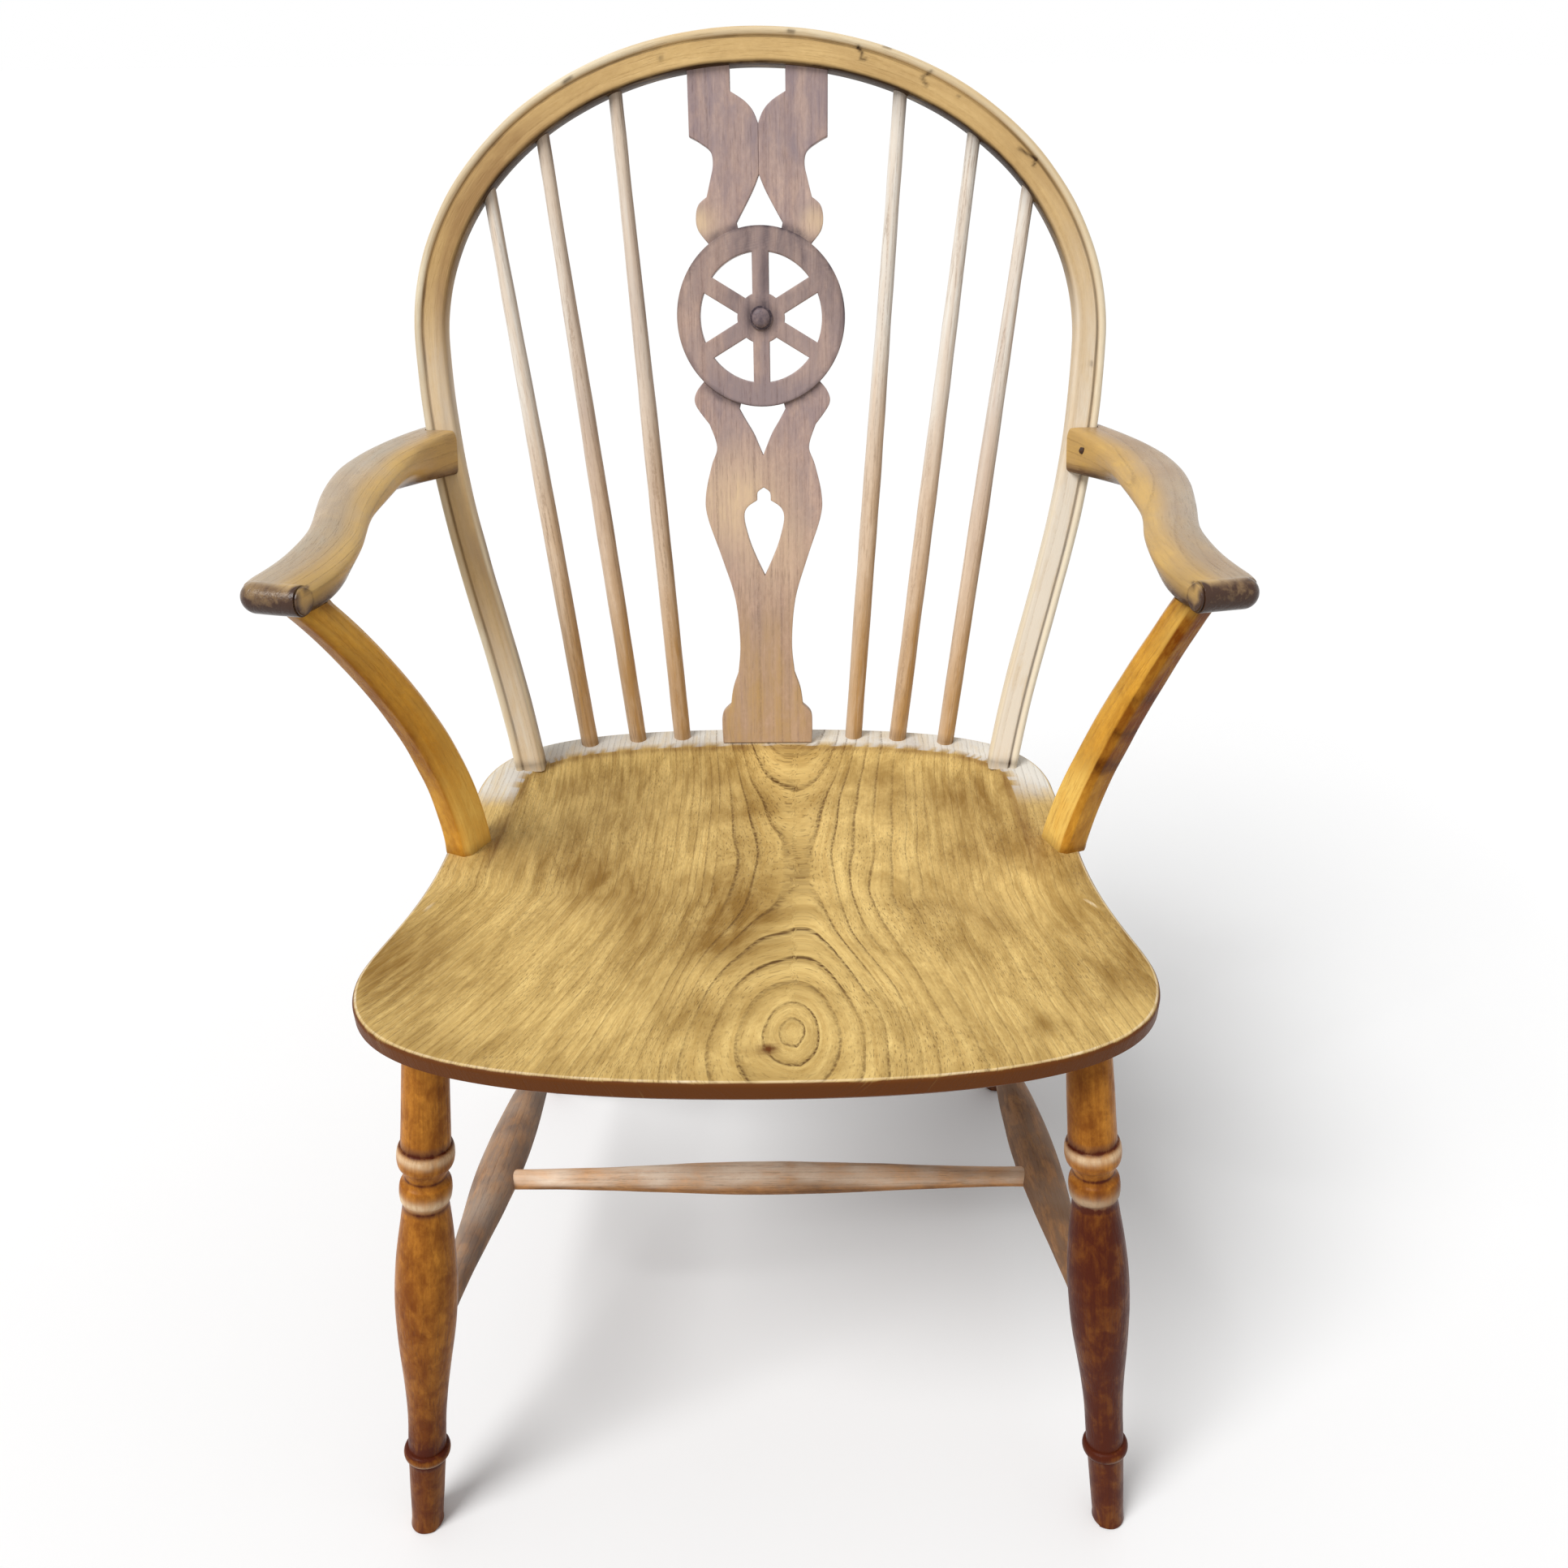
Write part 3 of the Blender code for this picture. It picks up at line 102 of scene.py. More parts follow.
SPLAT_Y = 0.4105
SPLAT_THICK = 0.0085
SPLAT_INSERT = 0.008
WHEEL_HEIGHT = 0.3205
WHEEL_R = 0.0608
WHEEL_THICK = 0.0115
WHEEL_RIM_R = 0.0442
WHEEL_SPOKES = 6
WHEEL_SPOKE = 0.012
WHEEL_HUB_R = 0.0172
BOSS_R = 0.0083
BOSS_RIM = 0.0015
BOSS_STEP = 0.0007
BOSS_DOME_R = 0.0066
BOSS_DOME = 0.0030

ARM_UNDER = 0.655
ARM_TAIL = 0.012
ARM_ELBOW = 0.075
ARM_ELBOW_OUT = 0.0345
ARM_NARROW = 0.168
ARM_WAIST = 0.205
ARM_WAIST_OUT = 0.0215
ARM_HAND = 0.262
ARM_LENGTH = 0.284
ARM_HAND_OUT = 0.0355
ARM_PLACES = (-ARM_TAIL, ARM_ELBOW, ARM_NARROW, ARM_HAND, ARM_LENGTH)
ARM_WIDTHS = (0.037, 0.0455, 0.0345, 0.0425, 0.0355)
ARM_THICKS = (0.031, 0.027, 0.025, 0.0185, 0.0185)
ARM_UNDERCUTS = (0.0, 0.025, 0.015, 0.0, 0.0)
ARM_NOTCH_OPEN = 0.008
ARM_TAIL_OUT = 0.004
ARM_TAIL_PULL = (0.016, 0.026)
ARM_ELBOW_PULL = (0.036, 0.085)
ARM_WAIST_PULL = 0.036
ARM_HAND_PULL = (0.0045, 0.020)
ROLL_R = 0.0095
ROLL_STAND = 0.002
ROLL_EASE = 0.0008

POST_FOOT_Y = 0.2525
POST_FOOT_EDGE = {LEFT: 0.0135, RIGHT: 0.009}
POST_TOP_INSET = {LEFT: 0.0095, RIGHT: 0.0105}
POST_BEND = {LEFT: 1.75, RIGHT: 1.3}
POST_TOP_REACH = 0.262
POST_FOOT_DEEP = 0.032
POST_FOOT_WIDE = 0.024
POST_TOP_DEEP = 0.022
POST_TOP_WIDE = 0.019
POST_CHAMFER = 0.0045

FRONT_LEG_TOP = Vector((0.2025, 0.067))
FRONT_LEG_FOOT = Vector((0.2514, 0.0135))
BACK_LEG_TOP = Vector((0.150, 0.318))
BACK_LEG_FOOT = Vector((0.228, 0.482))
LEG_SOCKET = 0.021
LEG_TOP_R = 0.0145
LEG_SHAFT_R = 0.0160
LEG_BEAD = (0.3355, 0.017, 0.0185)
LEG_NECK = (0.3195, 0.0135)
LEG_COLLAR = (0.308, 0.015, 0.0170)
LEG_COLLAR_BASE_R = 0.0156
LEG_VASE_TOP = (0.297, 0.0150)
LEG_VASE = (0.220, 0.0208)
LEG_ANKLE = (0.100, 0.0135)
LEG_RING = (0.0745, 0.010, 0.0165)
LEG_FOOT_R = 0.0134
LEG_TIP_R = 0.0115
LEG_FOOT_ROUND = 0.0016

SIDE_FRONT_HEIGHT = 0.165
SIDE_BACK_HEIGHT = 0.141
SIDE_R = 0.0180
SIDE_END_R = 0.0088
SIDE_STOP = 0.003
CROSS_Y = 0.2026
CROSS_R = 0.0135
CROSS_END_R = 0.0085
CROSS_STOP = 0.006

SCREW_HEAD_R = 0.0045
SCREW_UP = 0.0065
SCREW_OUT = 0.004
NAIL_R = 0.0016
NAIL_FORWARD = 0.008
NAIL_UP = 0.019

SIDES = ((LEFT, "left"), (RIGHT, "right"))
UP = Vector((0, 0, 1))
SHARP = math.radians(38)
SQUARE = ((-1, -1), (1, -1), (1, 1), (-1, 1))
# A rounding takes at most this share of a side
ROUNDING_MOST = 0.45
# Points closer than this are one
WELD = 1e-6
# Worked surfaces are a little uneven: waves for each metre, and how far in they are laid
WOBBLE_SCALE = 34
WOBBLE_SINK = 1.5


# Curves

def bezier(points, steps):
    """Points along a cubic curve, leaving out its end."""
    a, b, c, d = (Vector(p) for p in points)
    found = []
    for i in range(steps):
        t = i / steps
        u = 1 - t
        found.append(a * u**3 + b * (3 * t * u * u) + c * (3 * t * t * u) + d * t**3)
    return found


def through(points, steps):
    """A smooth curve through all the points, with both ends."""
    points = [Vector(p) for p in points]
    found = []
    for i in range(len(points) - 1):
        before = points[max(i - 1, 0)]
        after = points[min(i + 2, len(points) - 1)]
        start, end = points[i], points[i + 1]
        handles = (start, start + (end - before) / 6, end - (after - start) / 6, end)
        found += bezier(handles, steps)
    return found + [points[-1]]


def ease(t):
    t = min(max(t, 0.0), 1.0)
    return (1 - math.cos(math.pi * t)) / 2


def rise(value, start, span):
    """From 0 at the start, eased, to 1 a span further on."""
    return ease((value - start) / span)


def hump(value, middle, width):
    """A soft peak of 1 at the middle."""
    return math.exp(-(((value - middle) / width) ** 2))


def arc(degrees):
    """Cosine and sine of each of the angles."""
    return [(math.cos(math.radians(turn)), math.sin(math.radians(turn))) for turn in degrees]


def blend(place, stops):
    """Value at a place between stops, each a pair of place and value, with level ends."""
    if place <= stops[0][0]:
        return stops[0][1]
    for (a, first), (b, second) in zip(stops, stops[1:]):
        if place <= b:
            return first + (second - first) * ease((place - a) / (b - a))
    return stops[-1][1]


def crossing(pairs, place):
    """Value where a run of pairs, each a value and a rising place, reaches the place."""
    for (first, a), (second, b) in zip(pairs, pairs[1:]):
        if a <= place <= b:
            return first + (second - first) * (place - a) / (b - a)
    return pairs[0][0] if place < pairs[0][1] else pairs[-1][0]


def rounded(corners, steps=4):
    """A closed outline from corners, each a point and a radius."""
    found = []
    count = len(corners)
    for i, (x, y, radius) in enumerate(corners):
        here = Vector((x, y))
        before = Vector(corners[i - 1][:2]) - here
        after = Vector(corners[(i + 1) % count][:2]) - here
        a = here + before.normalized() * min(radius, before.length * ROUNDING_MOST)
        b = here + after.normalized() * min(radius, after.length * ROUNDING_MOST)
        for k in range(steps + 1):
            t = k / steps
            found.append(a * (1 - t) ** 2 + here * (2 * t * (1 - t)) + b * t * t)
    return found


# Meshes

def rings(loops):
    """A closed skin over loops of equal length, as points and faces."""
    count = len(loops[0])
    verts = [v for loop in loops for v in loop]
    faces = [tuple(range(count)), tuple(range(len(verts) - count, len(verts)))]
    for k in range(len(loops) - 1):
        for i in range(count):
            j = (i + 1) % count
            a, b = k * count, (k + 1) * count
            faces.append((a + i, a + j, b + j, b + i))
    return verts, faces


def axes(start, end):
    axis = (end - start).normalized()
    level = Vector((0, 1, 0)) if abs(axis.y) < abs(axis.z) else UP
    across = axis.cross(level).normalized()
    return axis, across, axis.cross(across)


def lathe(start, end, profile, sides=48):
    """A round skin on the line from start to end: the profile is distance from start and radius."""
    axis, across, third = axes(start, end)
    loops = []
    for along, radius in profile:
        loop = []
        for i in range(sides):
            turn = 2 * math.pi * (i + 0.5) / sides
            loop.append(start + axis * along + (across * math.cos(turn) + third * math.sin(turn)) * radius)
        loops.append(loop)
    return rings(loops)


def stations(path, level):
    """Each point of a path with its length so far, its direction, its right and its level."""
    found, run = [], 0.0
    for k, point in enumerate(path):
        if k:
            run += (point - path[k - 1]).length
        ahead = (path[min(k + 1, len(path) - 1)] - path[max(k - 1, 0)]).normalized()
        found.append((point, run, ahead, ahead.cross(level).normalized(), level))
    return found


def sweep(track, sections, planes=(None, None)):
    """A skin along stations. A plane, given as a height, cuts that end level with the floor."""
    loops = []
    for k, (point, _, ahead, right, level) in enumerate(track):
        loop = [point + right * a + level * b for a, b in sections[k]]
        height = planes[0] if k == 0 else planes[1] if k == len(track) - 1 else None
        if height is not None:
            loop = [v + ahead * ((height - v.z) / ahead.z) for v in loop]
        loops.append(loop)
    return rings(loops)


def add(name, data):
    """A new object in the scene."""
    obj = bpy.data.objects.new(name, data)
    bpy.context.scene.collection.objects.link(obj)
    return obj


def build(name, islands, sharp=SHARP):
    """An object from skins, each a pair of points and faces."""
    verts, faces = [], []
    for points, polygons in islands:
        base = len(verts)
        verts += [tuple(p) for p in points]
        faces += [tuple(base + i for i in polygon) for polygon in polygons]
    mesh = bpy.data.meshes.new(name)
    mesh.from_pydata(verts, [], faces)
    tidy_normals(mesh, sharp)
    return add(name, mesh)


def tidy_normals(mesh, sharp=SHARP):
    shape = bmesh.new()
    shape.from_mesh(mesh)
    bmesh.ops.recalc_face_normals(shape, faces=shape.faces)
    shape.to_mesh(mesh)
    shape.free()
    mesh.shade_smooth()
    mesh.set_sharp_from_angle(angle=sharp)


def settle(obj, helpers=()):
    """Put what the modifiers make into the mesh itself, and drop the helpers."""
    bpy.context.view_layer.update()
    graph = bpy.context.evaluated_depsgraph_get()
    made = bpy.data.meshes.new_from_object(obj.evaluated_get(graph))
    obj.modifiers.clear()
    obj.data = made
    tidy_normals(made)
    for helper in helpers:
        bpy.data.objects.remove(helper, do_unlink=True)


def cut(obj, tools):
    for tool in tools:
        modifier = obj.modifiers.new(tool.name, "BOOLEAN")
        modifier.operation = "DIFFERENCE"
        modifier.solver = "EXACT"
        modifier.object = tool
    settle(obj, tools)


def trim(obj, height, bevel):
    """Cut the mesh off level at a height, keep what is above, and ease the new edge."""
    shape = bmesh.new()
    shape.from_mesh(obj.data)
    everything = shape.verts[:] + shape.edges[:] + shape.faces[:]
    result = bmesh.ops.bisect_plane(
        shape, geom=everything, dist=WELD, plane_co=(0, 0, height), plane_no=(0, 0, -1), clear_outer=True
    )
    rim = [item for item in result["geom_cut"] if isinstance(item, bmesh.types.BMEdge)]
    bmesh.ops.edgeloop_fill(shape, edges=rim)
    bmesh.ops.bevel(shape, geom=rim, offset=bevel, segments=3, profile=0.5, affect="EDGES")
    shape.to_mesh(obj.data)
    shape.free()
    tidy_normals(obj.data)


# Grain and marks

def finder(points):
    """A tree that finds the nearest of the points."""
    tree = kdtree.KDTree(len(points))
    for i, point in enumerate(points):
        tree.insert(point, i)
    tree.balance()
    return tree


def grain_on_line(start, end, shift):
    """Along the line, and across it in two directions."""
    axis, across, third = axes(start, end)

    def grain(co):
        reach = co - start
        return Vector((reach.dot(axis), reach.dot(across), reach.dot(third))) + Vector(shift)

    return grain


def grain_on_track(track, shift):
    """Along a swept path, and across it, from the nearest station."""
    tree = finder([station[0] for station in track])

    def grain(co):
        point, run, ahead, right, level = track[tree.find(co)[1]]
        reach = co - point
        return Vector((run + reach.dot(ahead), reach.dot(right), reach.dot(level))) + Vector(shift)

    return grain


def no_marks(co, normal, grain):
    return 0.0, 0.0, 0.0, 0.0


# Some of the marks also paint light and shade on the surface, as said where they are set
def finish(obj, node, material, grain, marks=no_marks, wobble=0.0):
    """Set the grain and the marks of every point, and stand the object in for its node.

    Marks are wear, dust, shade and stain, then the strength of the growth rings and polish where they
    differ. Their places are metres or shares of a length, and their strengths are given.
    """
    mesh = obj.data
    seed = Vector((len(node) * 0.37, sum(map(ord, node)) * 0.011, 0))
    normals = [v.normal.copy() for v in mesh.vertices]
    grains, shades, stains = [], [], []
    for vertex, normal in zip(mesh.vertices, normals):
        place = grain(vertex.co)
        wear, dust, shade, stain, *rest = marks(vertex.co, normal, place)
        figure, polish = rest or (1.0, 0.0)
        grains.extend(place)
        shades.extend((wear, dust, shade))
        stains.extend((stain, figure, polish))
    for vertex, normal in zip(mesh.vertices, normals):
        if wobble and vertex.co.z > LEG_FOOT_ROUND * 2:
            wave = noise.noise(vertex.co * WOBBLE_SCALE + seed)
            vertex.co += normal * (wobble * (wave - WOBBLE_SINK))
    for name, values in (("grain", grains), ("marks", shades), ("stain", stains)):
        mesh.attributes.new(name, "FLOAT_VECTOR", "POINT").data.foreach_set("vector", values)
    mesh.transform(Matrix.Translation(ORIGIN))
    mesh.materials.clear()
    mesh.materials.append(material)
    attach(obj, "root")
    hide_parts(node)


def spot(co, place, radius, strength=1.0):
    """A soft round mark."""
    reach = (co - Vector(place)).length / radius
    return strength * math.exp(-reach * reach)


def patchy(co, scale, shift=0.0):
    """Soft unevenness from 0 to 1. The scale is one number, or one for each axis."""
    scaled = Vector([a * b for a, b in zip(co, scale)]) if isinstance(scale, tuple) else co * scale
    return min(max(0.5 + 0.9 * noise.noise(scaled + Vector((shift, shift, shift))), 0.0), 1.0)


# Materials

class Tree:
    """Short hands for building the nodes of a material or a world."""

    def __init__(self, owner):
        owner.use_nodes = True
        self.owner = owner
        self.tree = owner.node_tree
        self.shader = self.tree.nodes.get("Principled BSDF")

    def put(self, kind, values, **settings):
        node = self.tree.nodes.new(kind)
        for key, value in settings.items():
            setattr(node, key, value)
        for where, value in values.items():
            self.feed(node.inputs[where], value)
        return node

    def feed(self, socket, value):
        if isinstance(value, bpy.types.NodeSocket):
            self.tree.links.new(value, socket)
        else:
            socket.default_value = value

    def math(self, operation, a, b=0.0, clamp=False):
        return self.put("ShaderNodeMath", {0: a, 1: b}, operation=operation, use_clamp=clamp).outputs[0]

    def scaled(self, vector, by):
        return self.put("ShaderNodeVectorMath", {0: vector, 1: by}, operation="MULTIPLY").outputs[0]

    def noise(self, vector, detail=2.0, roughness=0.5, distortion=0.0):
        values = {"Vector": vector, "Scale": 1.0, "Detail": detail, "Roughness": roughness}
        values["Distortion"] = distortion
        return self.put("ShaderNodeTexNoise", values).outputs["Fac"]

    def ramp(self, value, stops):
        node = self.put("ShaderNodeValToRGB", {"Fac": value})
        elements = node.color_ramp.elements
        while len(elements) < len(stops):
            elements.new(0.5)
        for element, (place, level) in zip(elements, stops):
            element.position = place
            element.color = (level, level, level, 1)
        return node.outputs["Color"]

    def cloud(self, grain, scale, stops, *look):
        """Noise drawn out along the grain, as a ramp through the stops. The scale is along and across."""
        along, across = scale
        return self.ramp(self.noise(self.scaled(grain, (along, across, across)), *look), stops)

    def mix(self, share, a, b):
        values = {0: share, 6: a, 7: b}
        return self.put("ShaderNodeMix", values, data_type="RGBA").outputs[2]

    def attribute(self, name):
        return self.put("ShaderNodeAttribute", {}, attribute_name=name).outputs["Vector"]

    def parts(self, vector):
        return self.put("ShaderNodeSeparateXYZ", {0: vector}).outputs[:]

    def coat(self, colour, roughness, strength, relief, height):
        """Feed the shader its colour, its roughness and a fine relief."""
        bump = self.put("ShaderNodeBump", {"Strength": strength, "Distance": relief, "Height": height})
        fed = {"Base Color": colour, "Roughness": roughness, "Normal": bump.outputs[0]}
        for name, value in fed.items():
            self.feed(self.shader.inputs[name], value)

    def seen(self):
        """1 for rays from the camera, also by way of a mirror or glass."""
        rays = self.put("ShaderNodeLightPath", {}).outputs
        direct = self.math("MAXIMUM", rays["Is Camera Ray"], rays["Is Glossy Ray"])
        return self.math("MAXIMUM", direct, rays["Is Transmission Ray"])


def rgb(colour):
    return (*colour, 1.0)


# Scales are waves for each metre, along and across the grain, and shares run from 0 to 1
WOOD_LOOK = {
    "fibre": (5.0, 330.0), "pore": (70.0, 900.0), "pore_share": 0.45, "rings": 160.0, "ring_share": 0.55,
    "ring_warp": 0.004, "pith": (0.02, 0.03), "bands": 90.0, "mottle": (210.0, 420.0), "blotch": (14.0, 40.0),
    "blotch_share": 0.35, "rough": (0.38, 0.58), "bump": 0.3, "shine": 0.1,
}
RING_LINE = ((0.0, 0.0), (0.55, 0.05), (0.80, 0.28), (0.90, 1.0), (0.96, 0.8), (1.0, 0.0))
RING_WARP_SCALE = (7.0, 45.0, 45.0)
RING_PATCHES = (11.0, 70.0)
RING_SPECKS = (380.0, 900.0)
PORE_PATCHES = (13.0, 16.0)
BAND_STRETCH = 2.0
POLISHED = 0.17
WOOD_RELIEF = 0.0005
RUST_SCALE = (700.0, 700.0)
RUST_RELIEF = 0.0003
IRON_DARK = (0.060, 0.050, 0.048)
IRON_BROWN = (0.13, 0.060, 0.030)


def wood(name, light, dark, line, worn, dust, shade, stain, **look):
    """A worn wood: fibres, bands and growth rings along the grain, pores, blotches, wear, dust, grime, and
    painted light and shade.
    """
    look = {**WOOD_LOOK, **look}
    tree = Tree(bpy.data.materials.new(name))
    grain = tree.attribute("grain")
    wear, dusty, shaded = tree.parts(tree.attribute("marks"))
    stained, figure, polish = tree.parts(tree.attribute("stain"))

    # Growth rings round a pith beside the piece
    warp = tree.noise(tree.scaled(grain, RING_WARP_SCALE), 3.0, 0.55)
    warp = tree.math("MULTIPLY", tree.math("SUBTRACT", warp, 0.5), look["ring_warp"])
    centred = tree.put("ShaderNodeVectorMath", {0: grain, 1: (0, *look["pith"])}, operation="ADD").outputs[0]
    flat = tree.scaled(centred, (0, 1, 1))
    reach = tree.put("ShaderNodeVectorMath", {0: flat}, operation="LENGTH").outputs["Value"]
    reach = tree.math("ADD", reach, warp)
    lines = tree.ramp(tree.math("FRACT", tree.math("MULTIPLY", reach, look["rings"])), RING_LINE)
    uneven = tree.cloud(grain, RING_PATCHES, ((0.36, 0.35), (0.58, 1.0)))
    speck = tree.cloud(grain, RING_SPECKS, ((0.40, 0.45), (0.56, 1.0)), 1.0)
    for share in (uneven, speck, figure):
        lines = tree.math("MULTIPLY", lines, share)
    along = tree.math("MULTIPLY", tree.parts(grain)[0], BAND_STRETCH)
    out = tree.math("MULTIPLY", reach, look["bands"])
    place = tree.put("ShaderNodeCombineXYZ", {0: along, 1: out}).outputs[0]
    bands = tree.ramp(tree.noise(place, 3.0, 0.6), ((0.34, 0.0), (0.66, 1.0)))

    # Fibres, pores, blotches and mottling
    fibre = tree.cloud(grain, look["fibre"], ((0.32, 0.0), (0.68, 1.0)), 5.0, 0.65, 0.15)
    pores = tree.cloud(grain, look["pore"], ((0.56, 0.0), (0.68, 1.0)))
    drift = tree.cloud(grain, PORE_PATCHES, ((0.40, 0.25), (0.60, 1.0)))
    free = tree.math("SUBTRACT", 1.0, tree.math("MULTIPLY", dusty, 0.75), True)
    pores = tree.math("MULTIPLY", tree.math("MULTIPLY", pores, drift), free)
    blotch = tree.cloud(grain, look["blotch"], ((0.40, 0.0), (0.64, 1.0)), 5.0, 0.65, 0.4)
    mottle = tree.cloud(grain, look["mottle"], ((0.34, 0.0), (0.66, 1.0)), 4.0, 0.7)
    tone = tree.math("MULTIPLY", tree.math("ADD", bands, fibre), 0.36)
    tone = tree.math("ADD", tone, tree.math("MULTIPLY", mottle, 0.28))
    colour = tree.mix(tone, rgb(dark), rgb(light))
    colour = tree.mix(tree.math("MULTIPLY", blotch, look["blotch_share"]), colour, rgb(shade))

    # Marks set on the mesh, broken up by the grain
    broken = tree.math("ADD", tree.math("MULTIPLY", blotch, 0.6), tree.math("MULTIPLY", fibre, 0.4))
    broken = tree.math("ADD", tree.math("MULTIPLY", broken, 0.8), 0.55)
    for mark, tint in ((shaded, shade), (dusty, dust), (wear, worn)):
        colour = tree.mix(tree.math("MULTIPLY", mark, broken, True), colour, rgb(tint))
    for mark, share in ((lines, look["ring_share"]), (pores, look["pore_share"])):
        colour = tree.mix(tree.math("MULTIPLY", mark, share), colour, rgb(line))
    colour = tree.mix(tree.math("MULTIPLY", stained, broken, True), colour, rgb(stain))

    smooth, rough = look["rough"]
    dull = tree.math("MULTIPLY", tree.math("ADD", blotch, dusty), 0.5, True)
    roughness = tree.math("ADD", tree.math("MULTIPLY", dull, rough - smooth), smooth)
    roughness = tree.math("SUBTRACT", roughness, tree.math("MULTIPLY", polish, smooth - POLISHED))
    height = tree.math("SUBTRACT", tree.math("MULTIPLY", fibre, 0.4), tree.math("ADD", lines, pores))
    tree.coat(colour, roughness, look["bump"], WOOD_RELIEF, height)
    tree.shader.inputs["Specular IOR Level"].default_value = look["shine"]
    return tree.owner


def iron(name):
    """Old iron: dark, browned and pitted."""
    tree = Tree(bpy.data.materials.new(name))
    rust = tree.cloud(tree.attribute("grain"), RUST_SCALE, ((0.40, 0.0), (0.62, 1.0)), 4.0, 0.65)
    colour = tree.mix(rust, rgb(IRON_DARK), rgb(IRON_BROWN))
    roughness = tree.math("ADD", tree.math("MULTIPLY", rust, 0.35), 0.42)
    tree.coat(colour, roughness, 0.4, RUST_RELIEF, rust)
    tree.shader.inputs["Metallic"].default_value = 0.7
    return tree.owner


ELM = wood(
    "elm", light=(1.0, 0.735, 0.285), dark=(0.58, 0.365, 0.110), line=(0.11, 0.050, 0.012),
    worn=(0.90, 0.74, 0.52), dust=(0.84, 0.80, 0.72), shade=(0.30, 0.165, 0.036), stain=(0.135, 0.040, 0.007),
    fibre=(7.0, 520.0), pore=(230.0, 1500.0), pore_share=0.6, rings=112.0, ring_share=0.95, ring_warp=0.003,
    pith=(0, 0), bands=210.0, blotch=(26.0, 60.0), blotch_share=0.47, bump=0.45,
)
ASH_BOW = wood(
    "ash_bow", light=(0.84, 0.585, 0.265), dark=(0.60, 0.385, 0.150), line=(0.42, 0.25, 0.09),
    worn=(0.90, 0.80, 0.60), dust=(0.88, 0.79, 0.66), shade=(0.40, 0.235, 0.095), stain=(0.060, 0.032, 0.015),
    pore_share=0.25, rings=210.0, ring_share=0.2, blotch=(18.0, 60.0), blotch_share=0.25, rough=(0.34, 0.52),
)
ASH_STICK = wood(
    "ash_sticks", light=(0.97, 0.80, 0.62), dark=(0.72, 0.53, 0.37), line=(0.32, 0.20, 0.12),
    worn=(0.93, 0.88, 0.80), dust=(0.48, 0.345, 0.285), shade=(0.54, 0.315, 0.125), stain=(0.12, 0.06, 0.028),
    fibre=(7.0, 500.0), rings=420.0, ring_share=0.5, blotch=(20.0, 160.0), blotch_share=0.3,
)
FRUITWOOD = wood(
    "fruitwood", light=(0.76, 0.56, 0.465), dark=(0.37, 0.245, 0.215), line=(0.17, 0.105, 0.095),
    worn=(0.86, 0.64, 0.41), dust=(0.60, 0.39, 0.165), shade=(0.31, 0.245, 0.275),
    stain=(0.065, 0.048, 0.058), fibre=(8.0, 420.0), pore_share=0.3, rings=210.0, ring_share=0.3,
    blotch=(34.0, 90.0), blotch_share=0.5, rough=(0.34, 0.56),
)
BROWN = wood(
    "arm_wood", light=(0.66, 0.45, 0.215), dark=(0.33, 0.20, 0.078), line=(0.15, 0.075, 0.028),
    worn=(0.44, 0.36, 0.255), dust=(0.68, 0.43, 0.13), shade=(0.36, 0.215, 0.105),
    stain=(0.060, 0.026, 0.014), fibre=(9.0, 300.0), mottle=(120.0, 260.0), pore_share=0.3, rings=190.0,
    ring_share=0.4, blotch=(45.0, 90.0), blotch_share=0.6, rough=(0.25, 0.44), shine=0.3,
)
AMBER = wood(
    "amber_posts", light=(1.0, 0.55, 0.080), dark=(0.58, 0.24, 0.022), line=(0.28, 0.085, 0.008),
    worn=(1.0, 0.68, 0.18), dust=(0.50, 0.36, 0.20), shade=(0.24, 0.062, 0.004), stain=(0.10, 0.025, 0.004),
    pore_share=0.25, rings=150.0, ring_share=0.25, blotch=(30.0, 80.0), blotch_share=0.4,
    rough=(0.27, 0.45), shine=0.08,
)
RED_BROWN = wood(
    "red_brown_legs", light=(0.80, 0.335, 0.045), dark=(0.29, 0.086, 0.010), line=(0.12, 0.032, 0.005),
    worn=(0.86, 0.62, 0.38), dust=(0.30, 0.20, 0.13), shade=(0.18, 0.042, 0.005), stain=(0.085, 0.016, 0.006),
    pore_share=0.35, rings=170.0, ring_share=0.25, mottle=(160.0, 260.0), blotch=(55.0, 95.0),
    blotch_share=0.6, rough=(0.28, 0.50), shine=0.07,
)
# Dusty wood, its colours set very pale so that the stretchers in the seat's shadow still look lit: partly
# painted light
DUSTY_AND_BRIGHTENED = wood(
    "dusty_stretchers", light=(1.0, 0.50, 0.170), dark=(0.50, 0.195, 0.052), line=(0.16, 0.07, 0.025),
    worn=(0.96, 0.80, 0.64), dust=(1.0, 0.79, 0.60), shade=(0.21, 0.100, 0.042), stain=(0.15, 0.125, 0.12),
    mottle=(160.0, 300.0), rings=190.0, ring_share=0.3, blotch=(40.0, 90.0), blotch_share=0.5,
    rough=(0.42, 0.70),
)
IRON = iron("old_iron")


# Seat

SEAT_FRONT_PULL = 0.177
SEAT_CORNER_PULL = 0.066
SEAT_SIDE_PULL = 0.028
SEAT_WAIST_PULL = 0.080
SEAT_REAR_PULL = 0.082
SEAT_BACK_PULL = 0.155
SEAT_FRONT_STEPS = 56
SEAT_SIDE_STEPS = 26
SEAT_WAIST_STEPS = 14
SEAT_BACK_STEPS = 60
SEAT_SHARP = math.radians(30)
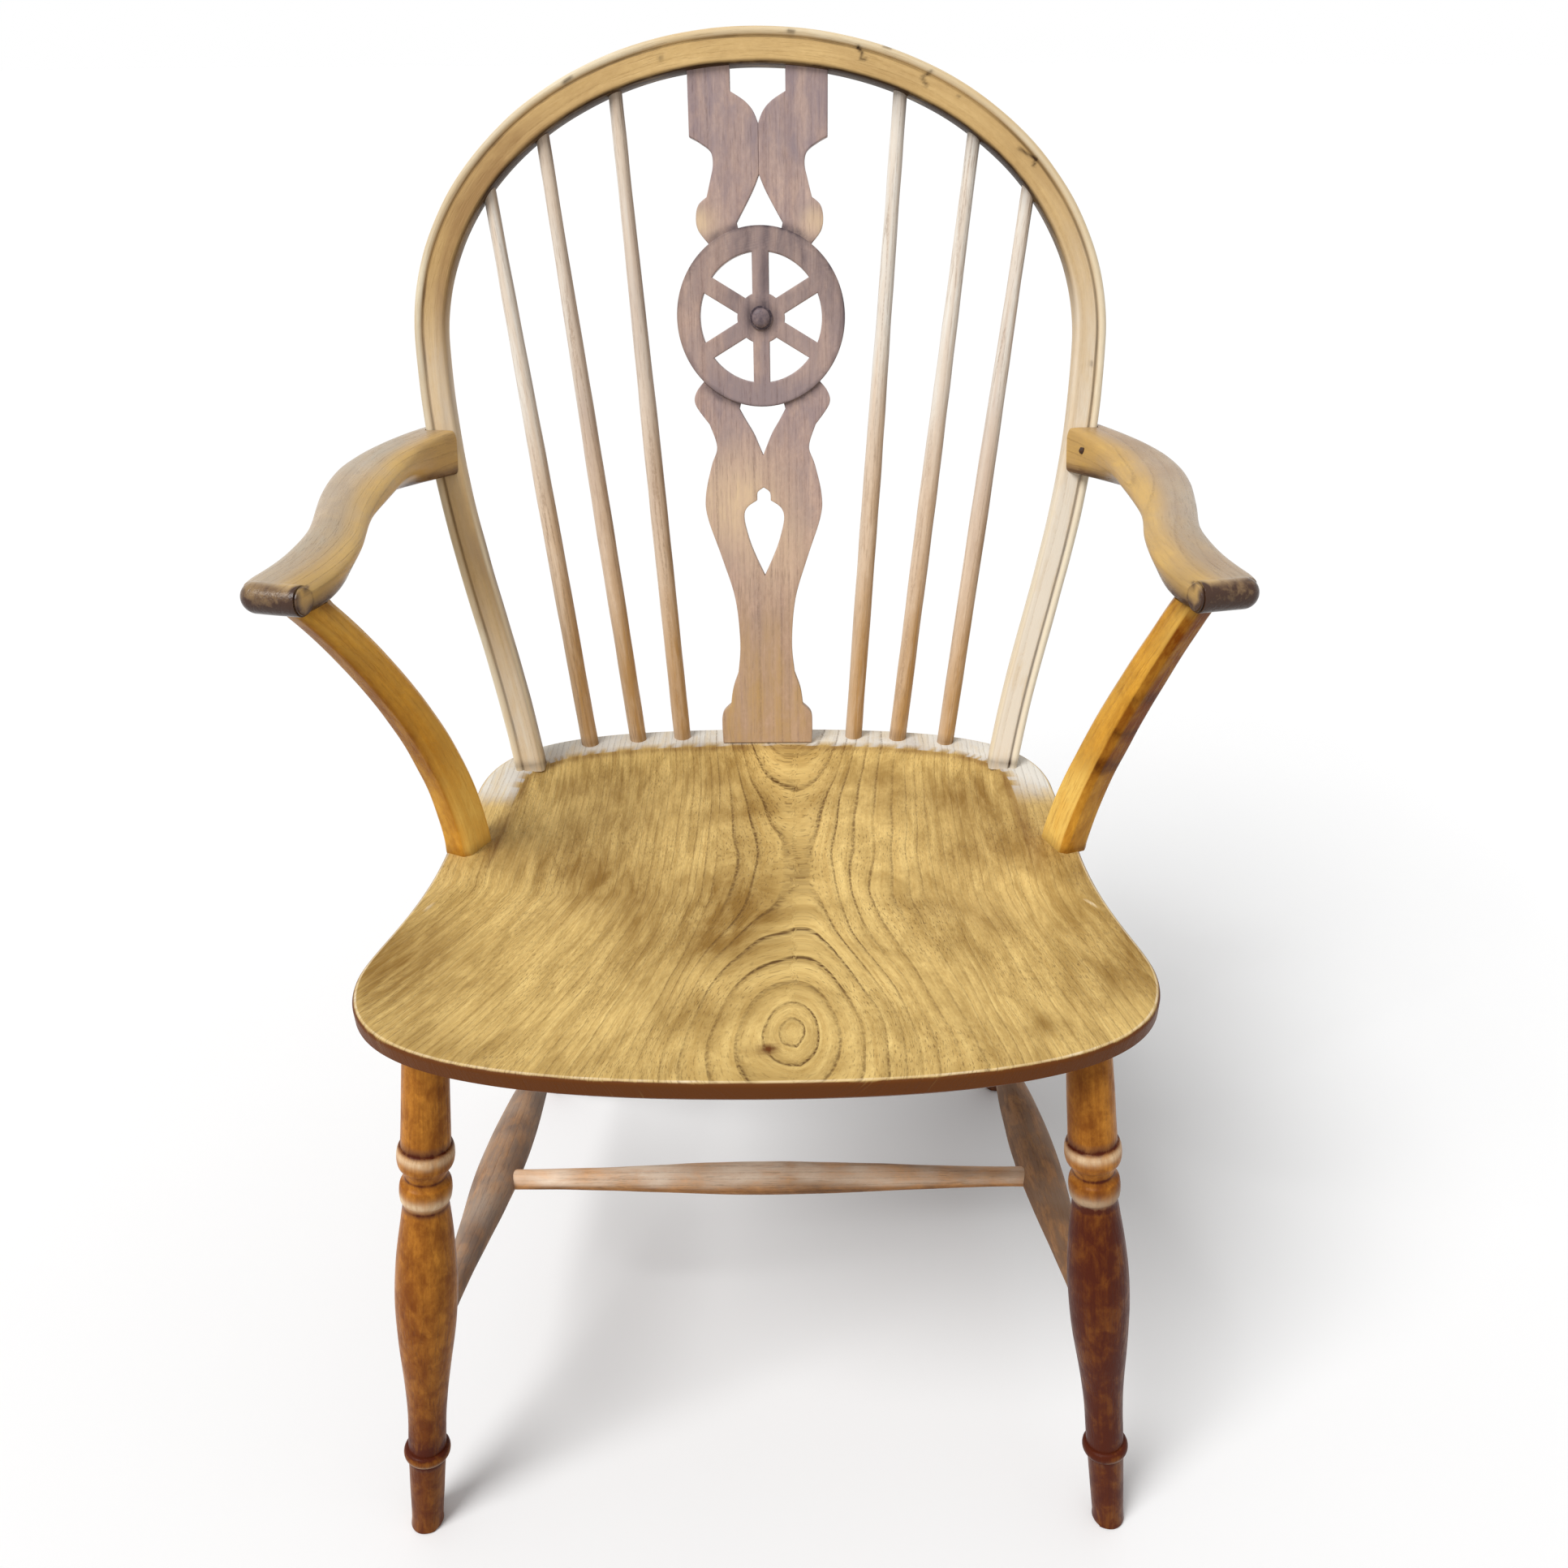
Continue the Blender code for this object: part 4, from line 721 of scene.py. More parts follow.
# Where the skin has its rings: shares of the underside, the slanted side and the flat rim
SEAT_UNDER_SHARES = (0.25, 0.5, 0.75, 0.93)
SEAT_FLANK_SHARES = (0.0, 0.04, 0.2, 0.4, 0.6, 0.8, 0.93, 1.0)
SEAT_RIM_SHARES = (0.35, 0.7, 1.0)
SEAT_FLANK_BELLY = 0.0012
SEAT_EDGE_SHARE = 0.55
DISH_STEPS = 52
DISH_CROWDING = 1.45


def seat_half():
    front, widest, back = Vector((0, 0)), Vector((SEAT_SIDE_X, SEAT_WIDEST_Y)), Vector((0, SEAT_DEPTH))
    across, along = Vector((1, 0)), Vector((0, 1))
    front_pulls = (front + across * SEAT_FRONT_PULL, widest - along * SEAT_CORNER_PULL)
    side_pulls = (widest + along * SEAT_SIDE_PULL, SEAT_WAIST - along * SEAT_WAIST_PULL)
    back_pulls = (SEAT_REAR + along * SEAT_REAR_PULL, back + across * SEAT_BACK_PULL)
    points = bezier((front, *front_pulls, widest), SEAT_FRONT_STEPS)
    points += bezier((widest, *side_pulls, SEAT_WAIST), SEAT_SIDE_STEPS)
    shares = [i / SEAT_WAIST_STEPS for i in range(SEAT_WAIST_STEPS)]
    points += [SEAT_WAIST + (SEAT_REAR - SEAT_WAIST) * share for share in shares]
    points += bezier((SEAT_REAR, *back_pulls, back), SEAT_BACK_STEPS)
    return points + [back]


SEAT_HALF = seat_half()


def seat_edge_x(y):
    """Half width of the seat at y, behind its widest place."""
    return crossing([(p.x, p.y) for p in SEAT_HALF if p.y >= SEAT_WIDEST_Y], y)


def seat_edge_y(x):
    """How far back the seat reaches at x, behind its waist."""
    return crossing([(p.y, p.x) for p in reversed(SEAT_HALF) if p.y >= SEAT_REAR.y], x)


# The figure of the board: two sets of arches round a line beside the middle
FIGURE_X = 0.022
FIGURE_Y = 0.0476
FIGURE_LONG = 0.171
FIGURE_BACK = 0.32
FIGURE_DEEP = 0.050
FIGURE_FAN = {LEFT: 1.7, RIGHT: 1.0}
FIGURE_FAN_TO = 0.20
FIGURE_WIDE = 0.062
FIGURE_TILT = 0.5
FIGURE_APART = 0.002
# Uneven rings: size, waves for each metre across and along, and a shift, then the same out from the middle
FIGURE_WAVES = ((0.004, 14, 6, 3.1), (0.0022, 40, 22, 5.3))
FIGURE_CROWDING = (0.0045, 55, 1.7)
# Brown patches: place, radius and strength
SEAT_PATCHES = (
    ((-0.192, 0.254), 0.020, 0.4), ((-0.146, 0.250), 0.030, 0.55), ((-0.121, 0.223), 0.030, 0.8),
    ((-0.088, 0.194), 0.030, 0.65), ((-0.074, 0.160), 0.026, 0.55), ((-0.074, 0.122), 0.026, 0.4),
    ((-0.012, 0.205), 0.026, 1.4), ((-0.018, 0.173), 0.025, 1.4), ((-0.026, 0.143), 0.024, 1.0),
    ((-0.005, 0.260), 0.020, 0.6), ((-0.017, 0.310), 0.024, 0.7), ((-0.030, 0.356), 0.024, 0.6),
    ((-0.043, 0.390), 0.026, 0.5), ((-0.117, 0.357), 0.034, 0.45), ((-0.147, 0.348), 0.014, 0.6),
    ((-0.110, 0.298), 0.034, 0.5), ((-0.219, 0.129), 0.034, 0.4), ((-0.230, 0.100), 0.028, 0.45),
    ((-0.197, 0.114), 0.028, 0.3), ((-0.198, 0.045), 0.030, 0.25), ((-0.036, 0.066), 0.026, 0.55),
    ((0.141, 0.335), 0.030, 0.7), ((0.169, 0.326), 0.026, 0.6), ((0.167, 0.279), 0.024, 0.55),
    ((0.143, 0.251), 0.024, 0.4), ((0.184, 0.250), 0.022, 0.55), ((0.116, 0.185), 0.026, 0.35),
    ((0.143, 0.165), 0.026, 0.4), ((0.131, 0.139), 0.024, 0.3), ((0.200, 0.232), 0.018, 0.5),
    ((0.215, 0.213), 0.018, 0.5), ((0.218, 0.157), 0.030, 0.45), ((0.231, 0.110), 0.030, 0.4),
    ((0.198, 0.096), 0.026, 0.25), ((0.173, 0.052), 0.011, 0.8), ((0.135, 0.052), 0.018, 0.3),
    ((0.098, 0.331), 0.024, 0.35), ((0.081, 0.364), 0.022, 0.45), ((0.040, 0.389), 0.024, 0.35),
)
# Away from its middle the board's growth rings stand closer: from where, and by how much
FIGURE_CLOSE = {LEFT: (0.055, 1.0), RIGHT: (0.095, 0.8)}


def seat_grain(co):
    side = LEFT if co.x < FIGURE_X else RIGHT
    fan = 1 + FIGURE_FAN[side] * (min(co.y, FIGURE_FAN_TO) - FIGURE_FAN_TO)
    turn = co.y - FIGURE_Y - FIGURE_LONG
    deep = FIGURE_DEEP * math.cos(math.pi / 2 * turn / (FIGURE_BACK if turn > 0 else FIGURE_LONG))
    start, close = FIGURE_CLOSE[side]
    x = abs(co.x - FIGURE_X) * fan
    x += close * max(x - start, 0.0)
    reach = math.hypot(x, deep)
    for size, across, along, shift in FIGURE_WAVES:
        reach += size * noise.noise(Vector((co.x * across, co.y * along, shift)))
    size, out, shift = FIGURE_CROWDING
    reach += size * noise.noise(Vector((reach * out, 0, shift)))
    return Vector((co.y, reach + (SEAT_HEIGHT - co.z) * FIGURE_TILT, side * FIGURE_APART))


# Where the seat's marks are: the worn front, the dusty ledge and the knot
SEAT_FRONT_FADE = (0.06, 0.10)
SEAT_LEDGE_DUST = (0.30, 0.04)
SEAT_KNOT = ((0.0067, 0.0299), 0.0045, 1.6)
SEAT_EDGE_REACH = 0.012
SEAT_TOP_FACING = 0.97
SEAT_SIDE_FACING = 0.3


def seat_loops(outline, inward, ledge):
    """The seat's skin as rings: underside, slanted side, rounded edge, flat rim and dish."""
    top, under = SEAT_HEIGHT, SEAT_HEIGHT - SEAT_THICK
    undercut = ((SEAT_WIDEST_Y, SEAT_FRONT_UNDERCUT), (SEAT_WAIST.y, SEAT_UNDERCUT))
    sides = [(p, n, blend(p.y, undercut)) for p, n in zip(outline, inward)]
    loops = []
    for share in SEAT_UNDER_SHARES:
        flat = [DISH_CENTRE + (p + n * f - DISH_CENTRE) * share for p, n, f in sides]
        loops.append([Vector((*p, under)) for p in flat])
    for share in SEAT_FLANK_SHARES:
        belly = SEAT_FLANK_BELLY * math.sin(math.pi * share)
        height = under + (SEAT_THICK - SEAT_EDGE) * share
        loops.append([Vector((*(p + n * (f * (1 - share) - belly)), height)) for p, n, f in sides])
    edge_rings = [(0.0, SEAT_EDGE * SEAT_EDGE_SHARE)]
    edge_rings += [(SEAT_ARRIS * (1 - cos), SEAT_ARRIS * (1 - sin)) for cos, sin in arc(range(0, 91, 15))]
    for inset, down in edge_rings:
        loops.append([Vector((*(p + n * inset), top - down)) for p, n in zip(outline, inward)])
    shores = [p + n * blend(p.y, ledge) for p, n in zip(outline, inward)]
    arris = [p + n * SEAT_ARRIS for p, n in zip(outline, inward)]
    for share in SEAT_RIM_SHARES:
        loops.append([Vector((*(p + (shore - p) * share), top)) for p, shore in zip(arris, shores)])
    steepness = ((SEAT_WIDEST_Y, FRONT_SLOPE), (SEAT_WAIST.y, BACK_SLOPE))
    slopes = [blend(p.y, steepness) for p in outline]
    for i in range(1, DISH_STEPS):
        share = 1 - (i / DISH_STEPS) ** DISH_CROWDING
        ring = []
        for shore, slope in zip(shores, slopes):
            p = DISH_CENTRE + (shore - DISH_CENTRE) * share
            hollow = 1 - share**slope
            ridge = hump(p.x, 0.0, RIDGE_WIDTH) * (1 - ease(p.y / DISH_CENTRE.y))
            ring.append(Vector((*p, top - hollow * (DISH_DEPTH - RIDGE_HEIGHT * ridge))))
        loops.append(ring)
    return loops


def make_seat():
    outline = SEAT_HALF + [Vector((-p.x, p.y)) for p in reversed(SEAT_HALF[1:-1])]
    inward = []
    for i, before in enumerate(outline[-1:] + outline[:-1]):
        along = outline[(i + 1) % len(outline)] - before
        inward.append(Vector((-along.y, along.x)).normalized())
    ledge = ((SEAT_LEDGE_FROM_Y, SEAT_RIM), (SEAT_LEDGE_FULL_Y, SEAT_LEDGE))
    obj = build("elm_seat_board", [rings(seat_loops(outline, inward, ledge))], SEAT_SHARP)
    tree = finder([(p.x, p.y, 0) for p in outline])

    def marks(co, normal, place):
        inset = tree.find((co.x, co.y, 0))[2]
        flat = Vector((co.x, co.y))
        front = 1 - rise(co.y, *SEAT_FRONT_FADE)
        if normal.z < SEAT_TOP_FACING and inset < SEAT_EDGE_REACH or normal.z < SEAT_SIDE_FACING:
            # Faces turned away from the top are darkened: partly the end grain's own dark colour, partly
            # painted shade on the seat's edge
            side = ease((0.95 - normal.z) / 0.40)
            ticks = patchy(co, 170) * patchy(co, 45, 4.0)
            rub = hump(normal.z, 0.93, 0.07) * (0.35 + 1.3 * ticks) * (0.5 + 0.6 * front)
            edge_stain_and_shade = side * (1.15 + 0.5 * front) * (0.75 + 0.5 * patchy(co, 55, 2.0))
            return rub, 0.3 * (1 - front) * (1 - side), 0.6 * side, edge_stain_and_shade, 0.4, 0.0
        ledge_here = blend(co.y, ledge)
        dust = 0.0
        if co.y > SEAT_LEDGE_DUST[0] and inset < ledge_here:
            dust = (0.8 + 0.5 * patchy(co, 30)) * rise(co.y, *SEAT_LEDGE_DUST)
        # Darker along the step at the ledge, and in grey patches on the dusty ledge which also paint the
        # shadow behind the bow's feet
        step = hump(inset - ledge_here, 0.002, 0.003) * rise(co.y, 0.2, 0.06)
        shade = sum(spot(flat, *patch) for patch in SEAT_PATCHES)
        shade = 1.1 * (1 - math.exp(-1.3 * shade)) * (0.7 + 0.6 * patchy(co, (110, 16, 0)))
        shade += 0.4 * (1 - ease(inset / 0.05)) * patchy(co, (40, 12, 0), 6.0)
        grime = 0.45 * step + 0.2 * min(dust, 1.0) * patchy(co, 45, 8.0) ** 2
        stain = spot(flat, *SEAT_KNOT) + grime
        return 0.0, dust, min(shade, 1.1), stain, 0.42 + 0.7 * hump(co.x, FIGURE_X, FIGURE_WIDE), 0.0

    finish(obj, "seat", ELM, seat_grain, marks)


# Bow

BOW_FOOT_PULL = 0.121
BOW_SIDE_PULL = 0.127
BOW_SHOULDER_PULL = 0.101
BOW_CROWN_PULL = 0.1355
BOW_LEG_STEPS = 180
BOW_CROWN_STEPS = 230
BOW_FLAT_STEPS = 8
BOW_SOFTEN = (0.2, 0.65)
BOW_GROOVE_FLOOR = 0.0001
BOW_SHOULDER_SINK = 0.0006
BOW_TENON_PROUD = 0.0004
BOW_TENON_EASE = 0.0006
BOW_TENON_LONG = 0.03
BOW_WOBBLE = 0.00025
BOW_UP = Vector((0, math.sin(BOW_LEAN), math.cos(BOW_LEAN)))
BOW_FRONT = Vector((0, -math.cos(BOW_LEAN), math.sin(BOW_LEAN)))


def bow_half():
    """Right half of the bow's middle line, foot to crown, as distance from the middle and height."""
    foot = Vector((BOW_FOOT_X, 0))
    leg = Vector((math.sin(BOW_SPLAY), math.cos(BOW_SPLAY)))
    side, crown = Vector((BOW_SIDE_X, BOW_SPAN_HEIGHT)), Vector((0, BOW_RISE))
    across, up = Vector((1, 0)), Vector((0, 1))
    leg_pulls = (foot + leg * BOW_FOOT_PULL, side - up * BOW_SIDE_PULL)
    crown_pulls = (side + up * BOW_SHOULDER_PULL, crown + across * BOW_CROWN_PULL)
    points = bezier((foot, *leg_pulls, side), BOW_LEG_STEPS)
    return points + bezier((side, *crown_pulls, crown), BOW_CROWN_STEPS) + [crown]


BOW_HALF = bow_half()


def in_bow(x, up, front=0.0):
    return Vector((x, BOW_FOOT_Y, SEAT_HEIGHT)) + BOW_UP * up + BOW_FRONT * front


def bow_at_height(z):
    """Point of the bow's right leg at a height above the floor."""
    up = (z - SEAT_HEIGHT) / math.cos(BOW_LEAN)
    return in_bow(crossing(BOW_HALF, up), up)


def bow_at_x(x):
    """Point of the bow's right shoulder or crown at a distance from the middle."""
    run = [(p.y, p.x) for p in reversed(BOW_HALF) if p.y >= BOW_SPAN_HEIGHT]
    return in_bow(x, crossing(run, x))


def bow_section():
    """Out from the bow's middle, and to the back: beaded front edge, eased front arris, rounded back."""
    w, d, r, c = BOW_FACE / 2, BOW_DEPTH / 2, BOW_BACK_ROUND, BOW_CHAMFER
    bead = BOW_BEAD / 2
    little, much = BOW_SOFTEN
    front = [(-w, -d + c), (-w + c * little, -d + c * much), (-w + c * much, -d + c * little), (-w + c, -d)]
    flat = w - BOW_BEAD - BOW_GROOVE
    start = -w + c
    front += [(start + (flat - start) * i / BOW_FLAT_STEPS, -d) for i in range(1, BOW_FLAT_STEPS + 1)]
    front.append((flat + BOW_GROOVE * 0.6, -d + BOW_GROOVE * 0.8))
    front.append((w - BOW_BEAD + BOW_GROOVE_FLOOR, -d + BOW_GROOVE))
    front += [(w - bead + bead * cos, -d + bead - bead * sin) for cos, sin in arc(range(150, -1, -15))]
    quarter = arc((0, 22, 45, 68, 90))
    back = [(w - r + r * cos, d - r + r * sin) for cos, sin in quarter]
    back += [(-w + r - r * cos, d - r + r * sin) for cos, sin in reversed(quarter)]
    return front + back


def bow_leg(side):
    return (in_bow(side * math.sin(BOW_SPLAY), math.cos(BOW_SPLAY)) - in_bow(0, 0)).normalized()


# Dark nicks on the bow's front: runs of points across from the middle and up in the bow's plane, and a size
BOW_NICKS = (
    (((0.0680, 0.4975), (0.0712, 0.4939), (0.0705, 0.4900), (0.0737, 0.4897)), 0.0010),
    (((0.1181, 0.4825), (0.1117, 0.4789), (0.1150, 0.4739)), 0.0011),
    (((0.1798, 0.4353), (0.1848, 0.4324), (0.1915, 0.4287), (0.1901, 0.4250)), 0.0011),
    (((-0.0648, 0.4906),), 0.0019), (((0.0215, 0.5066), (0.0245, 0.5062)), 0.0014),
    (((-0.1310, 0.4765), (-0.1260, 0.4795)), 0.0012), (((0.0860, 0.4975), (0.0900, 0.4965)), 0.0011),
    (((0.1370, 0.4674),), 0.0012), (((0.2377, 0.2964),), 0.0014),
)
NICK_REACH = 0.025
NICK_DARK = 0.75


def nicked(place):
    """How dark the nicks make a place on the bow's front."""
    dark = 0.0
    for run, size in BOW_NICKS:
        if (place - Vector(run[0])).length < NICK_REACH:
            near = min((place - Vector(p)).length for p in run)
            for a, b in zip(run, run[1:]):
                a, b = Vector(a), Vector(b)
                share = min(max((place - a).dot(b - a) / (b - a).length_squared, 0.0), 1.0)
                near = min(near, (place - a - (b - a) * share).length)
            dark += NICK_DARK * hump(near, 0.0, size)
    return dark


BOW_SHIFT = (0.3, 0.01, 0.02)
# Where marks on the bow begin or end, up from the seat, and how far they take to change
BOW_LEGS_END = (0.10, 0.20)
BOW_FEET_END = (0.03, 0.13)
BOW_BROWN_FROM = (0.22, 0.08)
BOW_BROWN_END = (0.43, 0.06)
BOW_CROWN_FROM = (0.30, 0.14)


def make_bow():
    left = [Vector((-p.x, p.y)) for p in BOW_HALF[:-1]]
    path = [in_bow(*p) for p in left + BOW_HALF[::-1]]
    track = stations(path, -BOW_FRONT)
    shoulder = SEAT_HEIGHT - BOW_SHOULDER_SINK
    islands = [sweep(track, [bow_section()] * len(track), (shoulder, shoulder))]
    tenon = ((0, BOW_TENON_R - BOW_TENON_EASE), (BOW_TENON_EASE, BOW_TENON_R), (BOW_TENON_LONG, BOW_TENON_R))
    for side, _ in SIDES:
        leg = bow_leg(side)
        foot = in_bow(side * BOW_FOOT_X, 0)
        tip = foot - leg * ((SEAT_THICK + BOW_TENON_PROUD) / leg.z)
        islands.append(lathe(tip, foot, tenon))
    obj = build("bent_bow", islands)
    groove = BOW_FACE / 2 - BOW_BEAD

    def marks(co, normal, place):
        up = (co - in_bow(0, 0)).dot(BOW_UP)
        side = LEFT if co.x < 0 else RIGHT
        across, deep = place.y - BOW_SHIFT[1], place.z - BOW_SHIFT[2]
        low = 1 - rise(up, *BOW_LEGS_END)
        crown = rise(up, *BOW_CROWN_FROM)
        streak = patchy(place, (9, 160, 160))
        inner = ease((-across - BOW_FACE / 2 + BOW_CHAMFER) / BOW_CHAMFER)
        # The inner edge at the crown is darkened: painted shade under the bow, with some dirt
        stain = 0.6 * hump(up, 0.001, 0.004) + 1.2 * inner * crown
        if deep < 0:
            stain += nicked(Vector((co.x, up))) + 0.65 * hump(across, groove, 0.0007)
            edge_line = hump(across + BOW_FACE / 2, BOW_CHAMFER * 0.6, 0.0008)
            stain += edge_line * low * (0.2 if side == LEFT else 0.25)
        wear = 0.75 * rise(across - groove, 0.0004, 0.001) * (0.5 + 0.6 * streak)
        far = rise(deep, 0.001, 0.004)
        # On the right leg the pale inner face and the pale dust below also paint the light that falls on that
        # leg
        wear += low * inner * (1.2 * (1 - far) if side == LEFT else 0.8)
        if side == LEFT:
            stain += 0.7 * low * inner * far
        foot = 1 - rise(up, *BOW_FEET_END)
        dust = low * (0.15 + 0.75 * foot * (0.4 + 0.6 * streak) if side == LEFT else 0.9 + 0.3 * streak)
        brown = 0.75 * rise(up, *BOW_BROWN_FROM) * (1 - rise(up, *BOW_BROWN_END))
        brown *= 1.0 if side == LEFT else 0.15
        brown += 0.6 * low * (1 - foot) * (1 if side == LEFT else 0.1)
        brown += 0.22 * crown * rise(abs(co.x), 0.04, 0.08)
        # The right side's pale dust is partly real dust and partly painted light
        if side == RIGHT:
            dust += 0.7 * (1 - crown) * (0.5 + 0.5 * streak)
        else:
            grey = hump(up, 0.275, 0.045)
            dust += 0.55 * grey
            stain += 0.3 * grey * streak
        brown *= 0.45 + 0.8 * streak
        return min(wear, 1.0), min(dust, 1.1), min(brown, 0.9), min(stain, 1.4), 1.0, 0.0

    finish(obj, "bow", ASH_BOW, grain_on_track(track, BOW_SHIFT), marks, BOW_WOBBLE)
    for side, word in SIDES:
        make_wedge(side, word)


WEDGE_PROUD = 0.0008
WEDGE_ROUND = 0.0004
# Distance in, width and thickness
WEDGE_RINGS = ((0, 0.0142, 0.0024), (0.0004, 0.0150, 0.0031), (0.021, 0.0150, 0.0010))
WEDGE_MARKS = (0.0, 0.3, 0.35, 0.2)


def make_wedge(side, word):
    """The end of the wedge in the bow's tenon, a hair proud of the seat's underside."""
    leg = bow_leg(side)
    tip = in_bow(side * BOW_FOOT_X, 0) - leg * ((SEAT_THICK + WEDGE_PROUD) / leg.z)
    across = leg.cross(BOW_FRONT).normalized()
    third = leg.cross(across)
    loops = []
    for along, wide, thick in WEDGE_RINGS:
        outline = rounded([(x * thick / 2, y * wide / 2, WEDGE_ROUND) for x, y in SQUARE], 2)
        loops.append([tip + leg * along + across * a + third * b for a, b in outline])
    obj = build(f"tenon_wedge_{word}", [rings(loops)])
    grain = grain_on_line(tip, tip + leg, (side * 0.4, 0.03, 0.02))
    finish(obj, f"bow_wedge_{word}", ASH_STICK, grain, lambda *_: WEDGE_MARKS)


# Sticks

STICK_STEPS = 60
STICK_SIDES = 28
STICK_WOBBLE = 0.0003
# Paler near the top, duller in the middle, for each stick from the splat outwards
STICK_TONES = {
    LEFT: ((0.50, 0.60), (0.45, 0.50), (0.85, 0.05)),
    RIGHT: ((0.90, 0.15), (0.90, 0.25), (0.80, 0.70)),
}


def make_stick(side, word, k, seat_x, bow_x):
    foot = Vector((side * seat_x, seat_edge_y(seat_x) - STICK_EDGE, SEAT_HEIGHT))
    head = bow_at_x(bow_x)
    head.x *= side
    foot -= (head - foot).normalized() * STICK_SINK
    length = (head - foot).length
    taper = ((STICK_TAPER_FROM, STICK_R), (length - STICK_TOP_LONG, STICK_TOP_R))
    places = [length * i / STICK_STEPS for i in range(STICK_STEPS + 1)]
    profile = [(along, blend(along, taper)) for along in places]
    obj = build(f"stick_{word}_{k}", [lathe(foot, head, profile, STICK_SIDES)])
    paleness, dullness = STICK_TONES[side][k - 1]

    def marks(co, normal, place):
        share = (co - foot).length / length
        low_end = 1 - rise(share, 0.10, 0.30)
        top_end = rise(share, 0.90, 0.08)
        joint = hump(co.z, SEAT_HEIGHT, 0.004)
        streak = patchy(place, (10, 260, 260))
        # The left-facing side is painted paler and the right-facing side darker: painted light and shade
        left, right = max(-normal.x, 0.0), max(normal.x, 0.0)
        pale = paleness * rise(share, 0.4, 0.3) * (0.4 + 0.9 * streak) + 0.25 * left
        dull = dullness * hump(share, 0.62, 0.26) * (1.2 - 0.7 * streak)
        shade = 0.9 * low_end + 0.6 * right
        stain = 0.7 * joint + 0.35 * top_end**2 + 0.45 * right**3 * (1 - low_end)
        return min(pale, 0.9), min(dull, 0.9), min(shade, 1.0), stain

    grain = grain_on_line(foot, head, (k * 0.7, side * 0.02, 0.013 * k))
    finish(obj, f"spindle_{word}_{k}", ASH_STICK, grain, marks, STICK_WOBBLE)


def make_sticks():
    for side, word in SIDES:
        for k, (seat_x, bow_x) in enumerate(zip(STICK_SEAT_X, STICK_BOW_X), 1):
            make_stick(side, word, k, seat_x, bow_x)


# Splat

# Right edges as drawn, each as runs between corners: out from the middle, and up from the seat
DRAWN_WHEEL = 0.3205
DRAWN_TOP = 0.477
SPLAT_TOP_HALF = 0.048
SPLAT_GAP_HALF = 0.019
UPPER_OUTER = (
    ((SPLAT_TOP_HALF, 0.5), (SPLAT_TOP_HALF, 0.435)),
    ((SPLAT_TOP_HALF, 0.435), (0.041, 0.4315), (0.0335, 0.426), (0.032, 0.418), (0.034, 0.409),
     (0.037, 0.398)),
    ((0.037, 0.398), (0.043, 0.393), (0.045, 0.385), (0.0435, 0.377), (0.037, 0.369)),
)
UPPER_INNER = (
    ((0.0163, 0.382), (0.0085, 0.395), (0.0035, 0.404), (0, 0.412)),
    ((0, 0.412), (0, 0.443)),
    ((0, 0.443), (0.0035, 0.4505), (0.0095, 0.4565), (SPLAT_GAP_HALF, 0.462)),
    ((SPLAT_GAP_HALF, 0.462), (SPLAT_GAP_HALF, 0.5)),
)
LOWER_OUTER = (
    ((0.041, 0.279), (0.0485, 0.27), (0.0495, 0.261), (0.0395, 0.247)),
    ((0.0395, 0.247), (0.0345, 0.231), (0.039, 0.2175), (0.044, 0.196), (0.043, 0.179), (0.033, 0.149),
     (0.0235, 0.117), (0.0205, 0.082), (0.0225, 0.058)),
    ((0.0225, 0.058), (0.027, 0.045), (0.029, 0.032)),
    ((0.029, 0.032), (0.0355, 0.025), (0.0365, 0.014), (0.036, 0)),
)
LOWER_INNER = (
    ((0, 0.225), (0.003, 0.232), (0.007, 0.241), (0.0125, 0.25), (0.017, 0.258)),
)
KEYHOLE = (
    ((0, 0.2015), (0.0046, 0.198), (0.0052, 0.192)),
    ((0.0052, 0.192), (0.013, 0.1865), (0.0152, 0.178), (0.0115, 0.162), (0.0065, 0.149), (0, 0.135)),
)
HIDDEN_R = 0.0525
SPLAT_EASE = 0.0007
SPLAT_GRID = 0.005
SPLAT_GRID_PASSES = 5
SPLAT_EDGE_STEPS = 6
SPLAT_SHARP = math.radians(32)
WHEEL_SIDES = 120
WINDOW_RIM_STEPS = 18
WINDOW_HUB_STEPS = 6
# The wheel's face stands out: how far round and over the board its marks begin
WHEEL_MARKS_ROUND = 0.0005
WHEEL_MARKS_OVER = 0.0002


def splat_plane():
    """Height of the bow's underside over the seat, along the splat, and the splat's lean."""
    crown = in_bow(0, BOW_RISE - BOW_FACE / 2)
    climb = Vector((crown.y - SPLAT_Y, crown.z - SEAT_HEIGHT))
    return climb.length, math.atan2(climb.x, climb.y)


SPLAT_HEIGHT, SPLAT_LEAN = splat_plane()
SPLAT_UP = Vector((0, math.sin(SPLAT_LEAN), math.cos(SPLAT_LEAN)))
SPLAT_FRONT = Vector((0, -math.cos(SPLAT_LEAN), math.sin(SPLAT_LEAN)))


def in_splat(x, up, front=0.0):
    return Vector((x, SPLAT_Y, SEAT_HEIGHT)) + SPLAT_UP * up + SPLAT_FRONT * front


def on_splat(drawn):
    """Height on the splat for a drawn height: below and above the wheel stretch by themselves."""
    if drawn <= DRAWN_WHEEL:
        return drawn * WHEEL_HEIGHT / DRAWN_WHEEL
    stretch = (SPLAT_HEIGHT - WHEEL_HEIGHT) / (DRAWN_TOP - DRAWN_WHEEL)
    return WHEEL_HEIGHT + (drawn - DRAWN_WHEEL) * stretch


